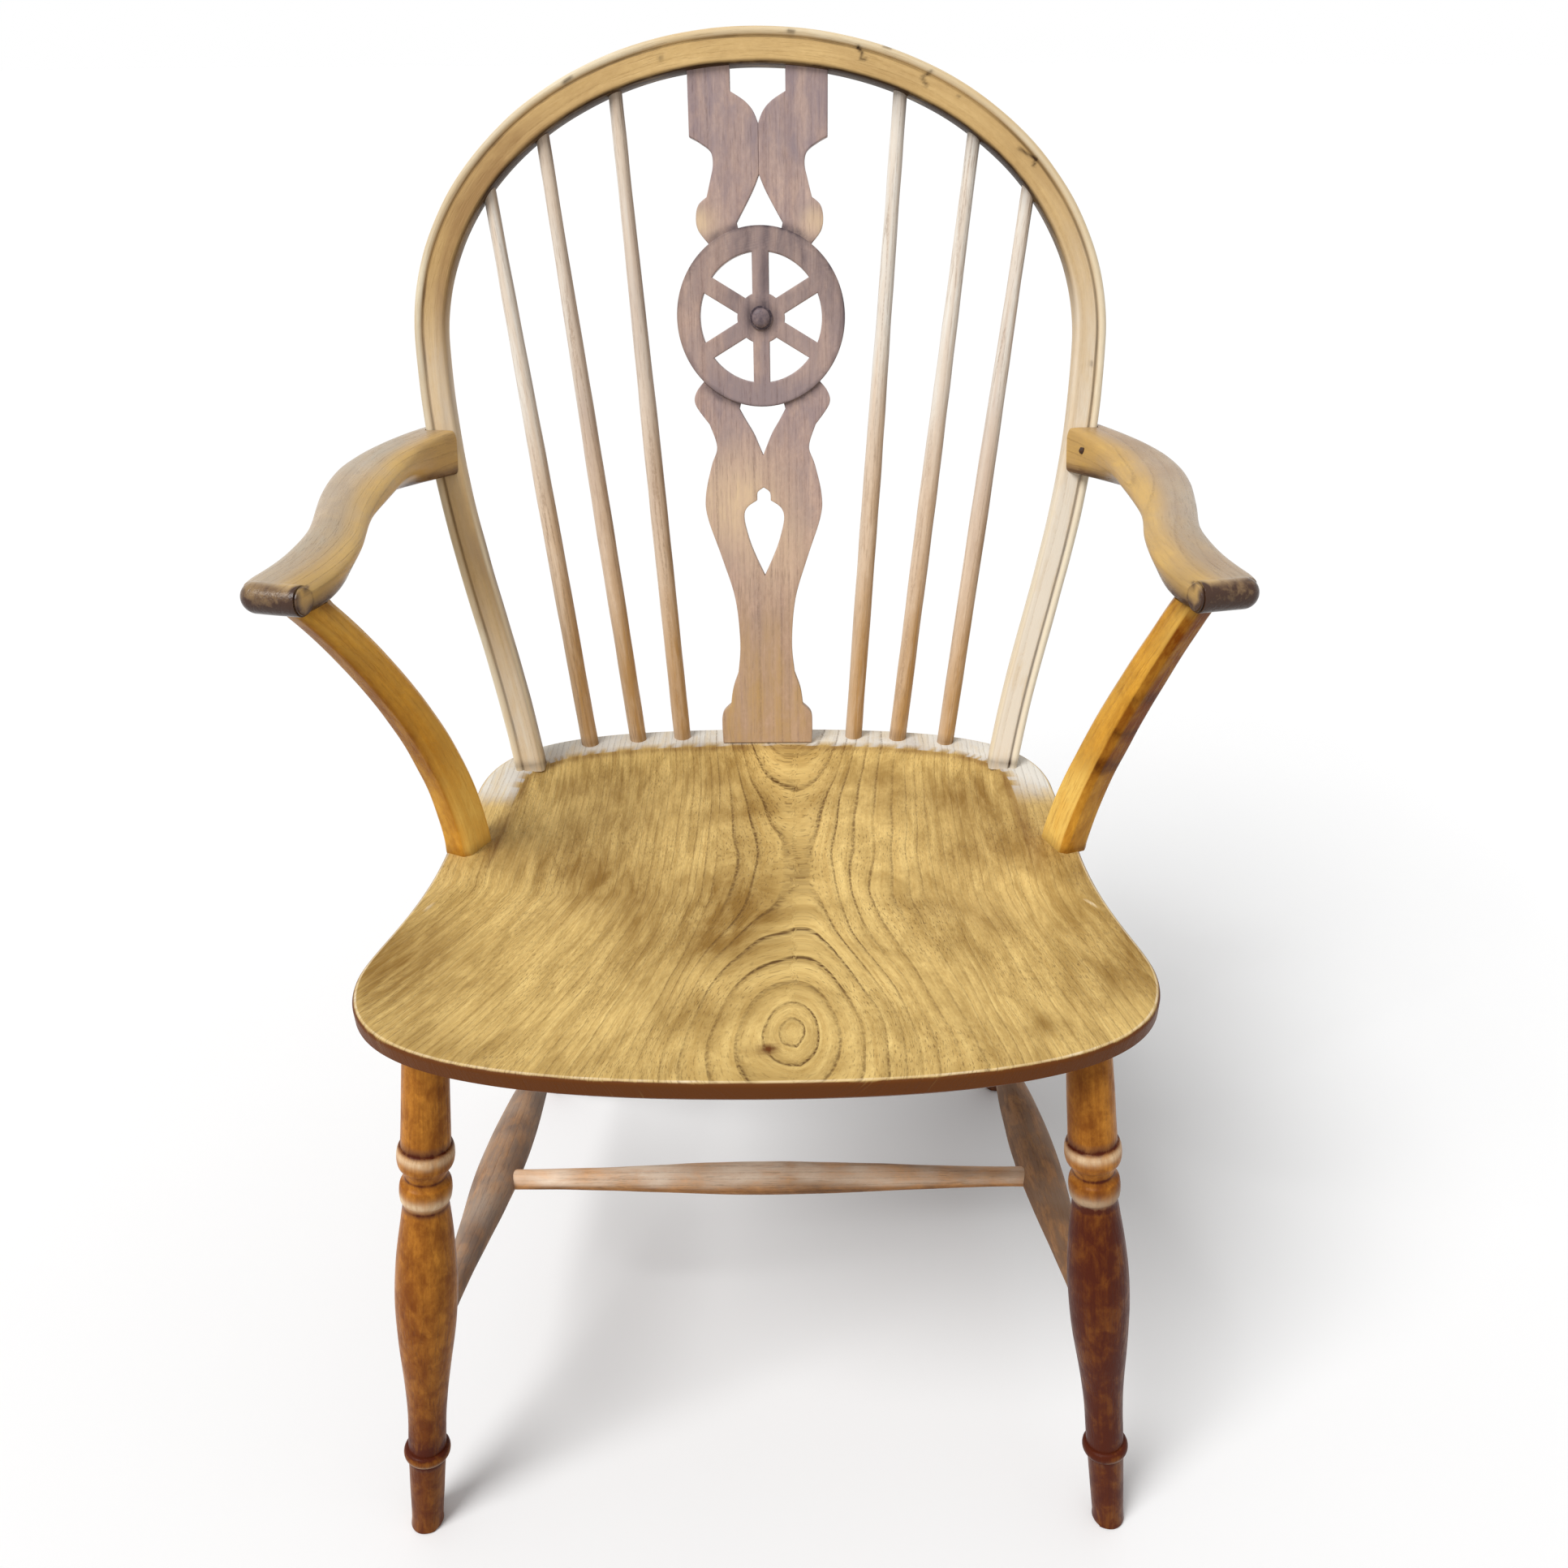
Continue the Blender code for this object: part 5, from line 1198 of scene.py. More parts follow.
def edge(runs):
    """A drawn edge as smooth runs between corners."""
    points = []
    for run in runs:
        smooth = through(run, SPLAT_EDGE_STEPS if len(run) > 2 else 1)
        points += smooth if not points else smooth[1:]
    return [Vector((p.x, min(on_splat(p.y), SPLAT_HEIGHT + SPLAT_INSERT))) for p in points]


def behind_wheel(start, end, steps=12):
    """An arc hidden in the wheel's rim, between the directions of two points."""
    a, b = (math.atan2(p.y - WHEEL_HEIGHT, p.x) for p in (start, end))
    turns = [a + (b - a) * i / steps for i in range(steps + 1)]
    return [Vector((HIDDEN_R * math.cos(t), WHEEL_HEIGHT + HIDDEN_R * math.sin(t))) for t in turns]


def flipped(points):
    return [Vector((-p.x, p.y)) for p in reversed(points)]


def board(outlines, thick):
    """A flat board with eased edges: the first outline is its edge and the others are holes."""
    curve = bpy.data.curves.new("board", "CURVE")
    curve.dimensions = "2D"
    curve.fill_mode = "BOTH"
    curve.extrude = thick / 2 - SPLAT_EASE
    curve.bevel_depth = SPLAT_EASE
    curve.bevel_resolution = 2
    curve.offset = -SPLAT_EASE
    for outline in outlines:
        spline = curve.splines.new("POLY")
        spline.points.add(len(outline) - 1)
        for point, (x, y) in zip(spline.points, outline):
            point.co = (x, y, 0, 1)
        spline.use_cyclic_u = True
    obj = add("board", curve)
    bpy.context.view_layer.update()
    mesh = bpy.data.meshes.new_from_object(obj.evaluated_get(bpy.context.evaluated_depsgraph_get()))
    shape = bmesh.new()
    shape.from_mesh(mesh)
    bmesh.ops.remove_doubles(shape, verts=shape.verts, dist=WELD)
    for _ in range(SPLAT_GRID_PASSES):
        bmesh.ops.triangulate(shape, faces=[face for face in shape.faces if len(face.verts) > 4])
        long = [e for e in shape.edges if e.calc_length() > SPLAT_GRID]
        if not long:
            break
        bmesh.ops.subdivide_edges(shape, edges=long, cuts=1)
    shape.verts.index_update()
    verts = [in_splat(*v.co) for v in shape.verts]
    faces = [tuple(v.index for v in face.verts) for face in shape.faces]
    shape.free()
    bpy.data.objects.remove(obj, do_unlink=True)
    bpy.data.meshes.remove(mesh)
    bpy.data.curves.remove(curve)
    return verts, faces


def wheel_windows():
    """The six openings between the spokes, each as an outline round the wheel's middle."""
    half = math.pi / WHEEL_SPOKES
    outlines = []
    for k in range(WHEEL_SPOKES):
        outline = []
        for radius, steps, way in ((WHEEL_RIM_R, WINDOW_RIM_STEPS, 1), (WHEEL_HUB_R, WINDOW_HUB_STEPS, -1)):
            reach = half - math.asin(WHEEL_SPOKE / 2 / radius)
            for i in range(steps + 1):
                turn = 2 * half * k + way * reach * (2 * i / steps - 1)
                outline.append(Vector((radius * math.cos(turn), WHEEL_HEIGHT + radius * math.sin(turn))))
        outlines.append(outline)
    return outlines


# Rubbed pale on both scrolls and at two places below: place, radius and strength
SCROLL_RUB = ((0.0405, on_splat(0.382)), 0.010, 0.75)
BOARD_RUBS = (((-0.020, 0.190), 0.035, 0.75), ((0.015, 0.15), 0.03, 0.4))
# How far the painted shade along the splat's edges reaches
SPLAT_EDGE_SHADOW = 0.0006


def make_splat():
    circle = [2 * math.pi * i / WHEEL_SIDES for i in range(WHEEL_SIDES)]
    wheel = [Vector((WHEEL_R * math.cos(t), WHEEL_HEIGHT + WHEEL_R * math.sin(t))) for t in circle]
    outer, inner = edge(UPPER_OUTER), edge(UPPER_INNER)
    right_arm = outer + behind_wheel(outer[-1], inner[0]) + inner
    low_outer, low_inner = edge(LOWER_OUTER), edge(LOWER_INNER)
    low_half = behind_wheel(low_inner[-1], low_outer[0]) + low_outer
    lower = low_inner[1:] + low_half + flipped(low_half) + flipped(low_inner)
    keyhole = edge(KEYHOLE)
    keyhole += flipped(keyhole[1:-1])
    islands = [
        board([wheel, *wheel_windows()], WHEEL_THICK),
        board([right_arm], SPLAT_THICK),
        board([flipped(right_arm)], SPLAT_THICK),
        board([lower, keyhole], SPLAT_THICK),
    ]
    obj = build("pierced_splat", islands, SPLAT_SHARP)

    def marks(co, normal, place):
        reach = co - in_splat(0, 0)
        x, up = abs(reach.x), reach.dot(SPLAT_UP)
        round_hub = math.hypot(x, up - WHEEL_HEIGHT)
        front = abs(reach.dot(SPLAT_FRONT))
        streak = patchy((reach.x, up, 0), (150, 14, 0), 2.0)
        if round_hub < WHEEL_R + WHEEL_MARKS_ROUND and front > SPLAT_THICK / 2 + WHEEL_MARKS_OVER:
            high = rise(up - WHEEL_HEIGHT, -0.03, 0.07)
            # The wheel's face is darkened at its edge: a painted shadow outline
            rim = hump(round_hub, WHEEL_R, 0.0012)
            hub = hump(round_hub, BOSS_R, 0.004)
            pale = rise(-reach.x, 0.015, 0.03) * rise(up - WHEEL_HEIGHT, -0.04, 0.03)
            foot = 1 - rise(up - WHEEL_HEIGHT, -0.055, 0.025)
            shade = (0.28 + 0.45 * streak) * (1 - 0.9 * pale) + 0.5 * foot
            stain = 0.55 * high * streak * (1 - 0.8 * pale) + 0.5 * rim + 0.5 * hub
            return 0.05, 0.05, min(shade, 1.0), min(stain, 1.0)
        rubbed = spot(Vector((x, up)), *SCROLL_RUB)
        rubbed += sum(spot(Vector((reach.x, up)), *rub) for rub in BOARD_RUBS)
        foot = 1 - rise(up, 0.03, 0.15)
        # A painted shadow on the board just outside the proud wheel, and painted shade along the board's
        # edges
        rim_shadow = hump(round_hub - WHEEL_R, 0.001, 0.003)
        shade = (0.45 * rise(up, 0.40, 0.03) + 0.35 * hump(up, on_splat(0.25), 0.02)) * (0.3 + streak)
        edge_shadow = 0.5 * ease(1 - (front - SPLAT_THICK / 2 + SPLAT_EDGE_SHADOW) / SPLAT_EDGE_SHADOW)
        dust = 0.8 * foot * (0.5 + 0.5 * streak)
        return min(rubbed, 0.9), dust, min(shade, 1.0), 0.6 * rim_shadow + 0.35 * edge_shadow

    def grain(co):
        reach = co - in_splat(0, 0)
        return Vector((reach.dot(SPLAT_UP), reach.x, reach.dot(SPLAT_FRONT)))

    finish(obj, "splat", FRUITWOOD, grain, marks)
    make_boss()


BOSS_SINK = 0.002
BOSS_EASE = 0.0004
BOSS_COVE = 0.0003
BOSS_SIDES = 40


def make_boss():
    face = in_splat(0, WHEEL_HEIGHT, WHEEL_THICK / 2 - BOSS_SINK)
    rim = BOSS_SINK + BOSS_RIM
    step = rim + BOSS_STEP
    profile = [(0, BOSS_R - BOSS_EASE), (BOSS_EASE, BOSS_R)]
    profile += [(rim - BOSS_EASE, BOSS_R), (rim, BOSS_R - BOSS_EASE)]
    profile += [(step - BOSS_COVE * 2, BOSS_DOME_R + BOSS_COVE), (step - BOSS_COVE, BOSS_DOME_R)]
    profile += [(step + BOSS_DOME * sin, BOSS_DOME_R * cos) for cos, sin in arc(range(5, 86, 8))]
    obj = build("turned_boss", [lathe(face, face + SPLAT_FRONT, profile, BOSS_SIDES)])

    def marks(co, normal, place):
        out = (co - face).dot(SPLAT_FRONT)
        groove = hump(out - step, -0.0005, 0.0006)
        return 0.0, 0.0, 0.8, 0.6 + 0.5 * groove, 0.3, 0.8

    grain = grain_on_line(face, face + SPLAT_FRONT, (2.0, 0.02, 0.01))
    finish(obj, "wheel_boss", FRUITWOOD, grain, marks)


# Arms

ARM_STEPS = (24, 26, 24)
ARM_SHOULDER = 0.008
ARM_ROUND = 0.006
ARM_UNDER_ROUND = 0.004
ARM_TOP_ROUND = 0.012
ARM_TAIL_SHRINK = 0.93
ARM_TAIL_EASE = 0.0012
ARM_WOBBLE = 0.0003


def arm_path():
    """Right arm's middle line as outward and forward distances, tail to hand."""
    tail, elbow = Vector((ARM_TAIL_OUT, -ARM_TAIL)), Vector((ARM_ELBOW_OUT, ARM_ELBOW))
    waist, hand = Vector((ARM_WAIST_OUT, ARM_WAIST)), Vector((ARM_HAND_OUT, ARM_LENGTH))
    ahead = Vector((0, 1))
    tail_pulls = (tail + Vector(ARM_TAIL_PULL), elbow - ahead * ARM_ELBOW_PULL[0])
    middle_pulls = (elbow + ahead * ARM_ELBOW_PULL[1], waist - ahead * ARM_WAIST_PULL)
    hand_pulls = (waist + ahead * ARM_WAIST_PULL, hand - Vector(ARM_HAND_PULL))
    points = bezier((tail, *tail_pulls, elbow), ARM_STEPS[0])
    points += bezier((elbow, *middle_pulls, waist), ARM_STEPS[1])
    return points + bezier((waist, *hand_pulls, hand), ARM_STEPS[2]) + [hand]


ARM_PATH = arm_path()


def arm_point(side, out, forward):
    origin = bow_at_height(ARM_UNDER + ARM_THICKS[0] / 2) + BOW_FRONT * (BOW_DEPTH / 2)
    return Vector((side * (origin.x + out), origin.y - forward, ARM_UNDER))


def bow_slope():
    """How far the bow's right leg goes out for each unit up, beside the arm."""
    climb = bow_at_height(ARM_UNDER + ARM_THICKS[0]) - bow_at_height(ARM_UNDER)
    return climb.x / climb.z


ARM_SLOPES = (bow_slope(), 0.0, 0.0, 0.0, 0.0)
ARM_FALLS = (0.004, 0.014, 0.018, 0.014, 0.007)


def along_arm(forward, values):
    return blend(forward, tuple(zip(ARM_PLACES, values)))


def arm_section(side, forward):
    """Right of the path and up from the underside, cut away on the inside and sloped beside the bow."""
    w = along_arm(forward, ARM_WIDTHS) / 2
    t = along_arm(forward, ARM_THICKS)
    u = along_arm(forward, ARM_UNDERCUTS)
    slope = along_arm(forward, ARM_SLOPES)
    fall = along_arm(forward, ARM_FALLS)
    middle = t / 2
    corners = [(-w, middle * 0.9, ARM_ROUND), (-w + u, 0, ARM_UNDER_ROUND), (w, 0, ARM_ROUND)]
    corners += [(w, t * 0.8, ARM_ROUND), (w - ARM_SHOULDER, t, ARM_SHOULDER)]
    corners += [(-w + fall, t, ARM_TOP_ROUND), (-w, t - fall * 0.4, ARM_ROUND)]
    return [(-side * (a + slope * (b - middle)), b) for a, b in rounded(corners, 5)]


NOTCH_BITE = 0.0003
NOTCH_SKIP = 5


def bow_notch(side):
    """What the arm's notch takes out: a square round the bow, open to the inside."""
    w, d = BOW_FACE / 2 - NOTCH_BITE, BOW_DEPTH / 2 - NOTCH_BITE
    inner = side * (w + ARM_NOTCH_OPEN)
    square = ((-side * w, -d), (inner, -d), (inner, d), (-side * w, d))
    middle = (ARM_UNDER + ARM_THICKS[0] / 2 - SEAT_HEIGHT) / math.cos(BOW_LEAN)
    near = [in_bow(side * p.x, p.y) for p in BOW_HALF if abs(p.y - middle) < ARM_THICKS[0] * 2]
    near = near[::NOTCH_SKIP]
    return build("notch", [sweep(stations(near, -BOW_FRONT), [square] * len(near))])


ROLL_LONG = ARM_WIDTHS[-1] + ROLL_STAND
ROLL_STEPS = 6
ROLL_SIDES = 48
ROLL_CLEAR = 0.001
ROLL_DARK = {LEFT: 0.95, RIGHT: 1.3}
EYE_R = 0.0085
EYE_SINK = 0.0004
EYE_SIDES = 40
EYE_PROFILE = ((0, EYE_R), (0.0014, EYE_R), (0.0022, EYE_R - 0.0009), (0.0022, EYE_R * 0.3))


def roll_profile():
    """The roll from its round outer end to its flat inner end."""
    profile = [(ROLL_R * (1 - sin), ROLL_R * cos) for cos, sin in arc(range(85, -1, -8))]
    profile += [(ROLL_R + (ROLL_LONG - ROLL_R) * i / ROLL_STEPS, ROLL_R) for i in range(1, ROLL_STEPS)]
    profile += [(ROLL_LONG - ROLL_EASE, ROLL_R), (ROLL_LONG - ROLL_EASE * 0.3, ROLL_R - ROLL_EASE * 0.3)]
    return profile + [(ROLL_LONG, ROLL_R - ROLL_EASE), (ROLL_LONG, ROLL_R * 0.4)]


ARM_JOINT_IN = 0.012


def make_arm(side, word):
    radius = ARM_THICKS[-1] / 2
    aim = (ARM_PATH[-1] - ARM_PATH[-2]).normalized()
    places = [p for p in ARM_PATH if (ARM_PATH[-1] - p).dot(aim) > radius + ROLL_CLEAR]
    places.append(ARM_PATH[-1] - aim * radius)
    line = [arm_point(side, *p) for p in places]
    track = stations(line, UP)
    sections = [arm_section(side, p.y) for p in places]

    # Ease the tail's end
    middle = Vector((0, ARM_THICKS[0] / 2))
    tail = [middle + (Vector(p) - middle) * ARM_TAIL_SHRINK for p in sections[0]]
    point, run, ahead, right, level = track[0]
    track = [track[0], (point + ahead * ARM_TAIL_EASE, run, ahead, right, level)] + track[1:]
    arm = build(f"sawn_arm_{word}", [sweep(track, [tail] + sections)])
    cut(arm, [bow_notch(side)])

    # Roll across the front of the hand: round at its outer end, flat and a little proud at its inner end
    inward = Vector((-side * aim.y, -aim.x, 0))
    centre = line[-1] + UP * radius
    outer = centre - inward * (ARM_WIDTHS[-1] / 2)
    roll = lathe(outer, outer + inward, roll_profile(), ROLL_SIDES)
    skin = [v.co.copy() for v in arm.data.vertices], [tuple(p.vertices) for p in arm.data.polygons]
    bpy.data.objects.remove(arm, do_unlink=True)
    end = outer + inward * (ROLL_LONG - EYE_SINK)
    eye = lathe(end, end + inward, EYE_PROFILE, EYE_SIDES)
    arm = build(f"sawn_arm_{word}", [skin, roll, eye])

    ahead = track[-1][2]
    shift = (0.2 + side * 0.9, 0.03, 0.02 * side)
    joint_out = crossing(ARM_PATH, POST_TOP_REACH) - POST_TOP_INSET[side] - ARM_JOINT_IN
    joint = arm_point(side, joint_out, POST_TOP_REACH)

    def marks(co, normal, place):
        forward = (co - centre).dot(ahead)
        top = max(normal.z, 0.0)
        run, within, up = place.x - shift[0], place.y - shift[1], place.z - shift[2]
        within *= side
        half = along_arm(run, ARM_WIDTHS) / 2
        band = rise(forward, -0.002, 0.007)
        side_on = (co - centre).dot(inward)
        golden = rise(within, -0.1 * half, 0.8 * half) * rise(up, 0.002, 0.008) * (1 - band)
        # Darker along the underside's edge and in the undercut: painted shade
        low = (1 - rise(up, 0.001, 0.009)) * (1 - 0.5 * band)
        thick = along_arm(run, ARM_THICKS)
        under = rise(within, 0.5 * half, 0.3 * half) * (1 - rise(up, 0.40 * thick, 0.16 * thick))
        under *= rise(run, 0.05, 0.03) * (1 - rise(run, 0.23, 0.02))
        uneven = patchy(co, 48, side)
        # Worn grey on the top, which also paints the sheen of the polished top
        wear = 0.95 * top * (1 - 0.85 * golden) * (0.45 + 0.6 * patchy(co, 26, side)) * (1 - band)
        tail = 1 - rise(run, 0.035, 0.03)
        facet = tail * (0.4 if side == LEFT else 0.1)
        # Faces turned away from the top are darkened as painted shade
        shade = facet * golden + 0.35 * (1 - top) * (1 - golden) + 0.4 * tail * (1 - golden) + 0.5 * uneven**2
        if side == RIGHT:
            wear *= 0.3 + 0.45 * rise(run, 0.10, 0.05)
            shade += top * (0.55 + 0.25 * (1 - rise(run, 0.12, 0.04)))
            golden *= 0.85
        # A painted shadow where the roll stands out from the arm's inner side, and round the eye
        roll_eye_shadow = hump(side_on, ARM_WIDTHS[-1] / 2, 0.0012) * rise(forward, -0.016, 0.006)
        round_eye = math.hypot(forward + 0.0005, co.z - centre.z)
        roll_eye_shadow += 0.8 * hump(round_eye - EYE_R, 0.0004, 0.0008) * rise(side_on, 0.4 * ROLL_LONG, 0.004)
        # The roll is dark polished wood, painted lighter on top and darker underneath as painted shade
        rolled = band * ROLL_DARK[side] * (1 - 0.4 * top + 0.5 * max(-normal.z, 0.0))
        stain = rolled + roll_eye_shadow + 0.9 * low + 0.7 * under
        stain += 0.35 * spot(co, joint, 0.020)
        dust = golden * (1 - 0.9 * facet) * 0.9
        return wear, dust, min(shade, 1.0), min(stain, 1.6), 0.8, min(band + 0.12, 1.0)

    finish(arm, f"arm_{word}", BROWN, grain_on_track(track, shift), marks, ARM_WOBBLE)
    make_screw(side, word)


SCREW_PROUD = 0.0005
SCREW_SIDES = 32
SCREW_PROFILE = (
    (0, SCREW_HEAD_R * 0.55), (0.0001, SCREW_HEAD_R * 0.86), (0.0004, SCREW_HEAD_R), (0.0012, SCREW_HEAD_R),
    (0.005, 0.0024), (0.026, 0.0020),
)
SLOT_HALF_LONG = 0.0055
SLOT_HALF_WIDE = 0.0005
SLOT_DEPTHS = (-0.002, 0.0011)
NAIL_PROUD = 0.0006
NAIL_SIDES = 24
NAIL_RUN = 0.024
NAIL_PROFILE = (
    (0, NAIL_R * 0.5), (0.0002, NAIL_R * 1.1), (0.0006, NAIL_R * 1.5), (0.0011, NAIL_R * 1.5),
    (0.0014, NAIL_R), (0.018, NAIL_R), (0.021, NAIL_R * 0.3),
)


def make_screw(side, word):
    """A slotted head in the back of the bow, opposite the arm."""
    middle = bow_at_height(ARM_UNDER + SCREW_UP)
    middle.x = side * (middle.x + SCREW_OUT)
    back = middle - BOW_FRONT * (BOW_DEPTH / 2 + SCREW_PROUD)
    head = build(f"slotted_screw_{word}", [lathe(back, back + BOW_FRONT, SCREW_PROFILE, SCREW_SIDES)])
    across = BOW_FRONT.cross(Vector((side * 0.5, 0, 1))).normalized()
    third = BOW_FRONT.cross(across)
    loops = []
    for deep in SLOT_DEPTHS:
        corners = [(x * SLOT_HALF_LONG, y * SLOT_HALF_WIDE) for x, y in SQUARE]
        loops.append([back + BOW_FRONT * deep + across * a + third * b for a, b in corners])
    cut(head, [build("slot", [rings(loops)])])
    grain = grain_on_line(back, back + BOW_FRONT, (side, 0, 0))
    finish(head, f"arm_screw_{word}", IRON, grain)


def make_nail():
    """The dark head of the nail in the inner face of the right arm, from there into the bow."""
    out = crossing(ARM_PATH, NAIL_FORWARD)
    run = Vector((crossing(ARM_PATH, NAIL_FORWARD + NAIL_RUN) - out, NAIL_RUN)).normalized()
    half = along_arm(NAIL_FORWARD, ARM_WIDTHS) / 2
    head = arm_point(RIGHT, out - run.y * half, NAIL_FORWARD + run.x * half) + UP * NAIL_UP
    goal = bow_at_height(head.z) + BOW_FRONT * (BOW_DEPTH / 2)
    aim = (goal - head).normalized()
    start = head - aim * NAIL_PROUD
    obj = build("punched_nail", [lathe(start, start + aim, NAIL_PROFILE, NAIL_SIDES)])
    finish(obj, "arm_nail_right", IRON, grain_on_line(start, start + aim, (0, 0, 0)))


# Posts

POST_STEPS = 44
POST_ROUND = 0.0012
POST_SINK = 0.001
POST_WOBBLE = 0.0004
# How squarely a face looks forward before it is darkened, as painted shade with some darker patina, and the
# dark knots: share of the height and strength
POST_FACING = {LEFT: 0.50, RIGHT: 0.30}
POST_KNOT_SCALE = 0.24
POST_KNOTS = ((0.375, 1.1), (0.40, 0.7), (0.52, 0.9), (0.66, 1.0))


def post_section(share):
    deep = POST_FOOT_DEEP + (POST_TOP_DEEP - POST_FOOT_DEEP) * share
    wide = POST_FOOT_WIDE + (POST_TOP_WIDE - POST_FOOT_WIDE) * share
    a, b, c = deep / 2, wide / 2, POST_CHAMFER
    half = [(-a, b - c), (-a, -b + c), (-a + c, -b), (a - c, -b)]
    return rounded([(x, y, POST_ROUND) for x, y in half + [(-x, -y) for x, y in half]], 2)


def make_post(side, word):
    foot = Vector((side * (seat_edge_x(POST_FOOT_Y) - POST_FOOT_EDGE[side]), POST_FOOT_Y, SEAT_HEIGHT))
    out = crossing(ARM_PATH, POST_TOP_REACH)
    head = arm_point(side, out - POST_TOP_INSET[side], POST_TOP_REACH)
    reach = Vector((head.x - foot.x, head.y - foot.y, 0))
    path, sections = [], []
    for i in range(POST_STEPS + 1):
        share = i / POST_STEPS
        path.append(foot + reach * share ** POST_BEND[side] + UP * ((head.z - foot.z) * share))
        sections.append(post_section(share))
    track = stations(path, reach.cross(UP).normalized())
    facing = track[POST_STEPS // 2][3]
    ends = (SEAT_HEIGHT - POST_SINK, ARM_UNDER + POST_SINK)
    obj = build(f"bent_post_{word}", [sweep(track, sections, ends)])

    def marks(co, normal, place):
        share = (co.z - foot.z) / (head.z - foot.z)
        joint = hump(co.z, foot.z, 0.005) + hump(co.z, head.z, 0.006)
        stain = 0.6 * joint
        ahead = normal.dot(facing)
        front = rise(ahead, POST_FACING[side], 0.35)
        streak = patchy(place, (12, 120, 120), 5.0)
        if side == RIGHT:
            for middle, strength in POST_KNOTS:
                near = (share - middle) * POST_KNOT_SCALE / (0.0045 + 0.003 * streak)
                stain += strength * math.exp(-near * near) * (0.15 + front) * (0.2 + 0.9 * patchy(co, 110))
        inside = ease(1 - (abs(ahead) - 0.35) / 0.3) if side == LEFT else 0.0
        high = rise(share, 0.15, 0.35)
        # Forward faces, and the left post's side faces, are darkened: painted shade, with darker patina on
        # both posts
        shade = front * (0.65 + 0.35 * streak) * (0.15 + 0.85 * high)
        shade = shade + 0.35 * inside * streak + 0.25 * streak * high
        shade *= 0.6 if side == LEFT else 1.1
        wear = (0.9 * (1 - rise(share, 0.10, 0.35)) + 0.5 * streak) * (1 - front) * (1 - 0.2 * inside)
        return min(wear, 1.0), 0.0, min(shade, 1.0), min(stain, 1.1), 0.8, 0.25

    grain = grain_on_track(track, (0.5 + side * 1.3, 0.02, 0.03 * side))
    finish(obj, f"arm_post_{word}", AMBER, grain, marks, POST_WOBBLE)


# Legs and stretchers

LEG_FOOT_STEPS = 12
LEG_VASE_STEPS = 22
LEG_SHAFT_STEPS = 10
LEG_NECK_SOFT = ((-0.0015, 0.0002), (0.0, 0.0), (0.002, 0.0003))
LEG_WOBBLE = 0.0003
# How far each leg is darkened below its bead: on the right front leg partly its own stain and partly painted
# shade
FRONT_GLOOM = {LEFT: 0.05, RIGHT: 0.68}
BACK_GLOOM = 0.2


def bulge(middle, long, base, radius, steps=12):
    """A turned bead: distance and radius across half a round."""
    found = []
    for i in range(steps + 1):
        turn = math.pi * i / steps
        found.append((middle - math.cos(turn) * long / 2, base + (radius - base) * math.sin(turn)))
    return found


def leg_profile(length):
    """Distance up from the floor, along the leg, and radius."""
    profile = [(-2 * LEG_TIP_R, LEG_TIP_R)]
    low = LEG_RING[0] - LEG_RING[1] / 2
    for i in range(LEG_FOOT_STEPS):
        radius = LEG_TIP_R + (LEG_FOOT_R - LEG_TIP_R) * i / LEG_FOOT_STEPS
        profile.append((low * i / LEG_FOOT_STEPS, radius))
    profile += bulge(LEG_RING[0], LEG_RING[1], LEG_FOOT_R, LEG_RING[2])
    for (a, first), (b, second), fall in ((LEG_ANKLE, LEG_VASE, False), (LEG_VASE, LEG_VASE_TOP, True)):
        for i in range(LEG_VASE_STEPS):
            share = i / LEG_VASE_STEPS
            level = 1 - math.cos(share * math.pi / 2) if fall else ease(share)
            profile.append((a + (b - a) * share, first + (second - first) * level))
    profile.append(LEG_VASE_TOP)
    profile += bulge(LEG_COLLAR[0], LEG_COLLAR[1], LEG_COLLAR_BASE_R, LEG_COLLAR[2])
    profile += [(LEG_NECK[0] + along, LEG_NECK[1] + out) for along, out in LEG_NECK_SOFT]
    profile += bulge(LEG_BEAD[0], LEG_BEAD[1], LEG_SHAFT_R, LEG_BEAD[2])
    start = profile[-1][0]
    for i in range(1, LEG_SHAFT_STEPS + 1):
        share = i / LEG_SHAFT_STEPS
        profile.append((start + (length - start) * share, LEG_SHAFT_R + (LEG_TOP_R - LEG_SHAFT_R) * share))
    return profile + [(length + LEG_SOCKET * 0.5, LEG_TOP_R)]


def leg_ends(side, top, foot):
    return Vector((side * foot.x, foot.y, 0)), Vector((side * top.x, top.y, SEAT_HEIGHT - SEAT_THICK))


# Rubbed pale, with a painted highlight, on the turnings, and darker in the grooves: middle, half width and
# strength along the leg
LEG_RUBBED_AND_HIGHLIT = (
    (LEG_BEAD[0] + 0.004, 0.0035, 0.75), (LEG_COLLAR[0] - 0.004, 0.0042, 0.9),
    (LEG_RING[0] - LEG_RING[1] * 0.35, 0.0018, 0.75),
)
LEG_GROOVES = (
    (LEG_NECK[0], 0.0014), (LEG_VASE_TOP[0], 0.0014), (LEG_BEAD[0] + LEG_BEAD[1] / 2, 0.0014),
    (LEG_RING[0] + LEG_RING[1] / 2, 0.0020), (LEG_RING[0] - LEG_RING[1] / 2, 0.0012),
)


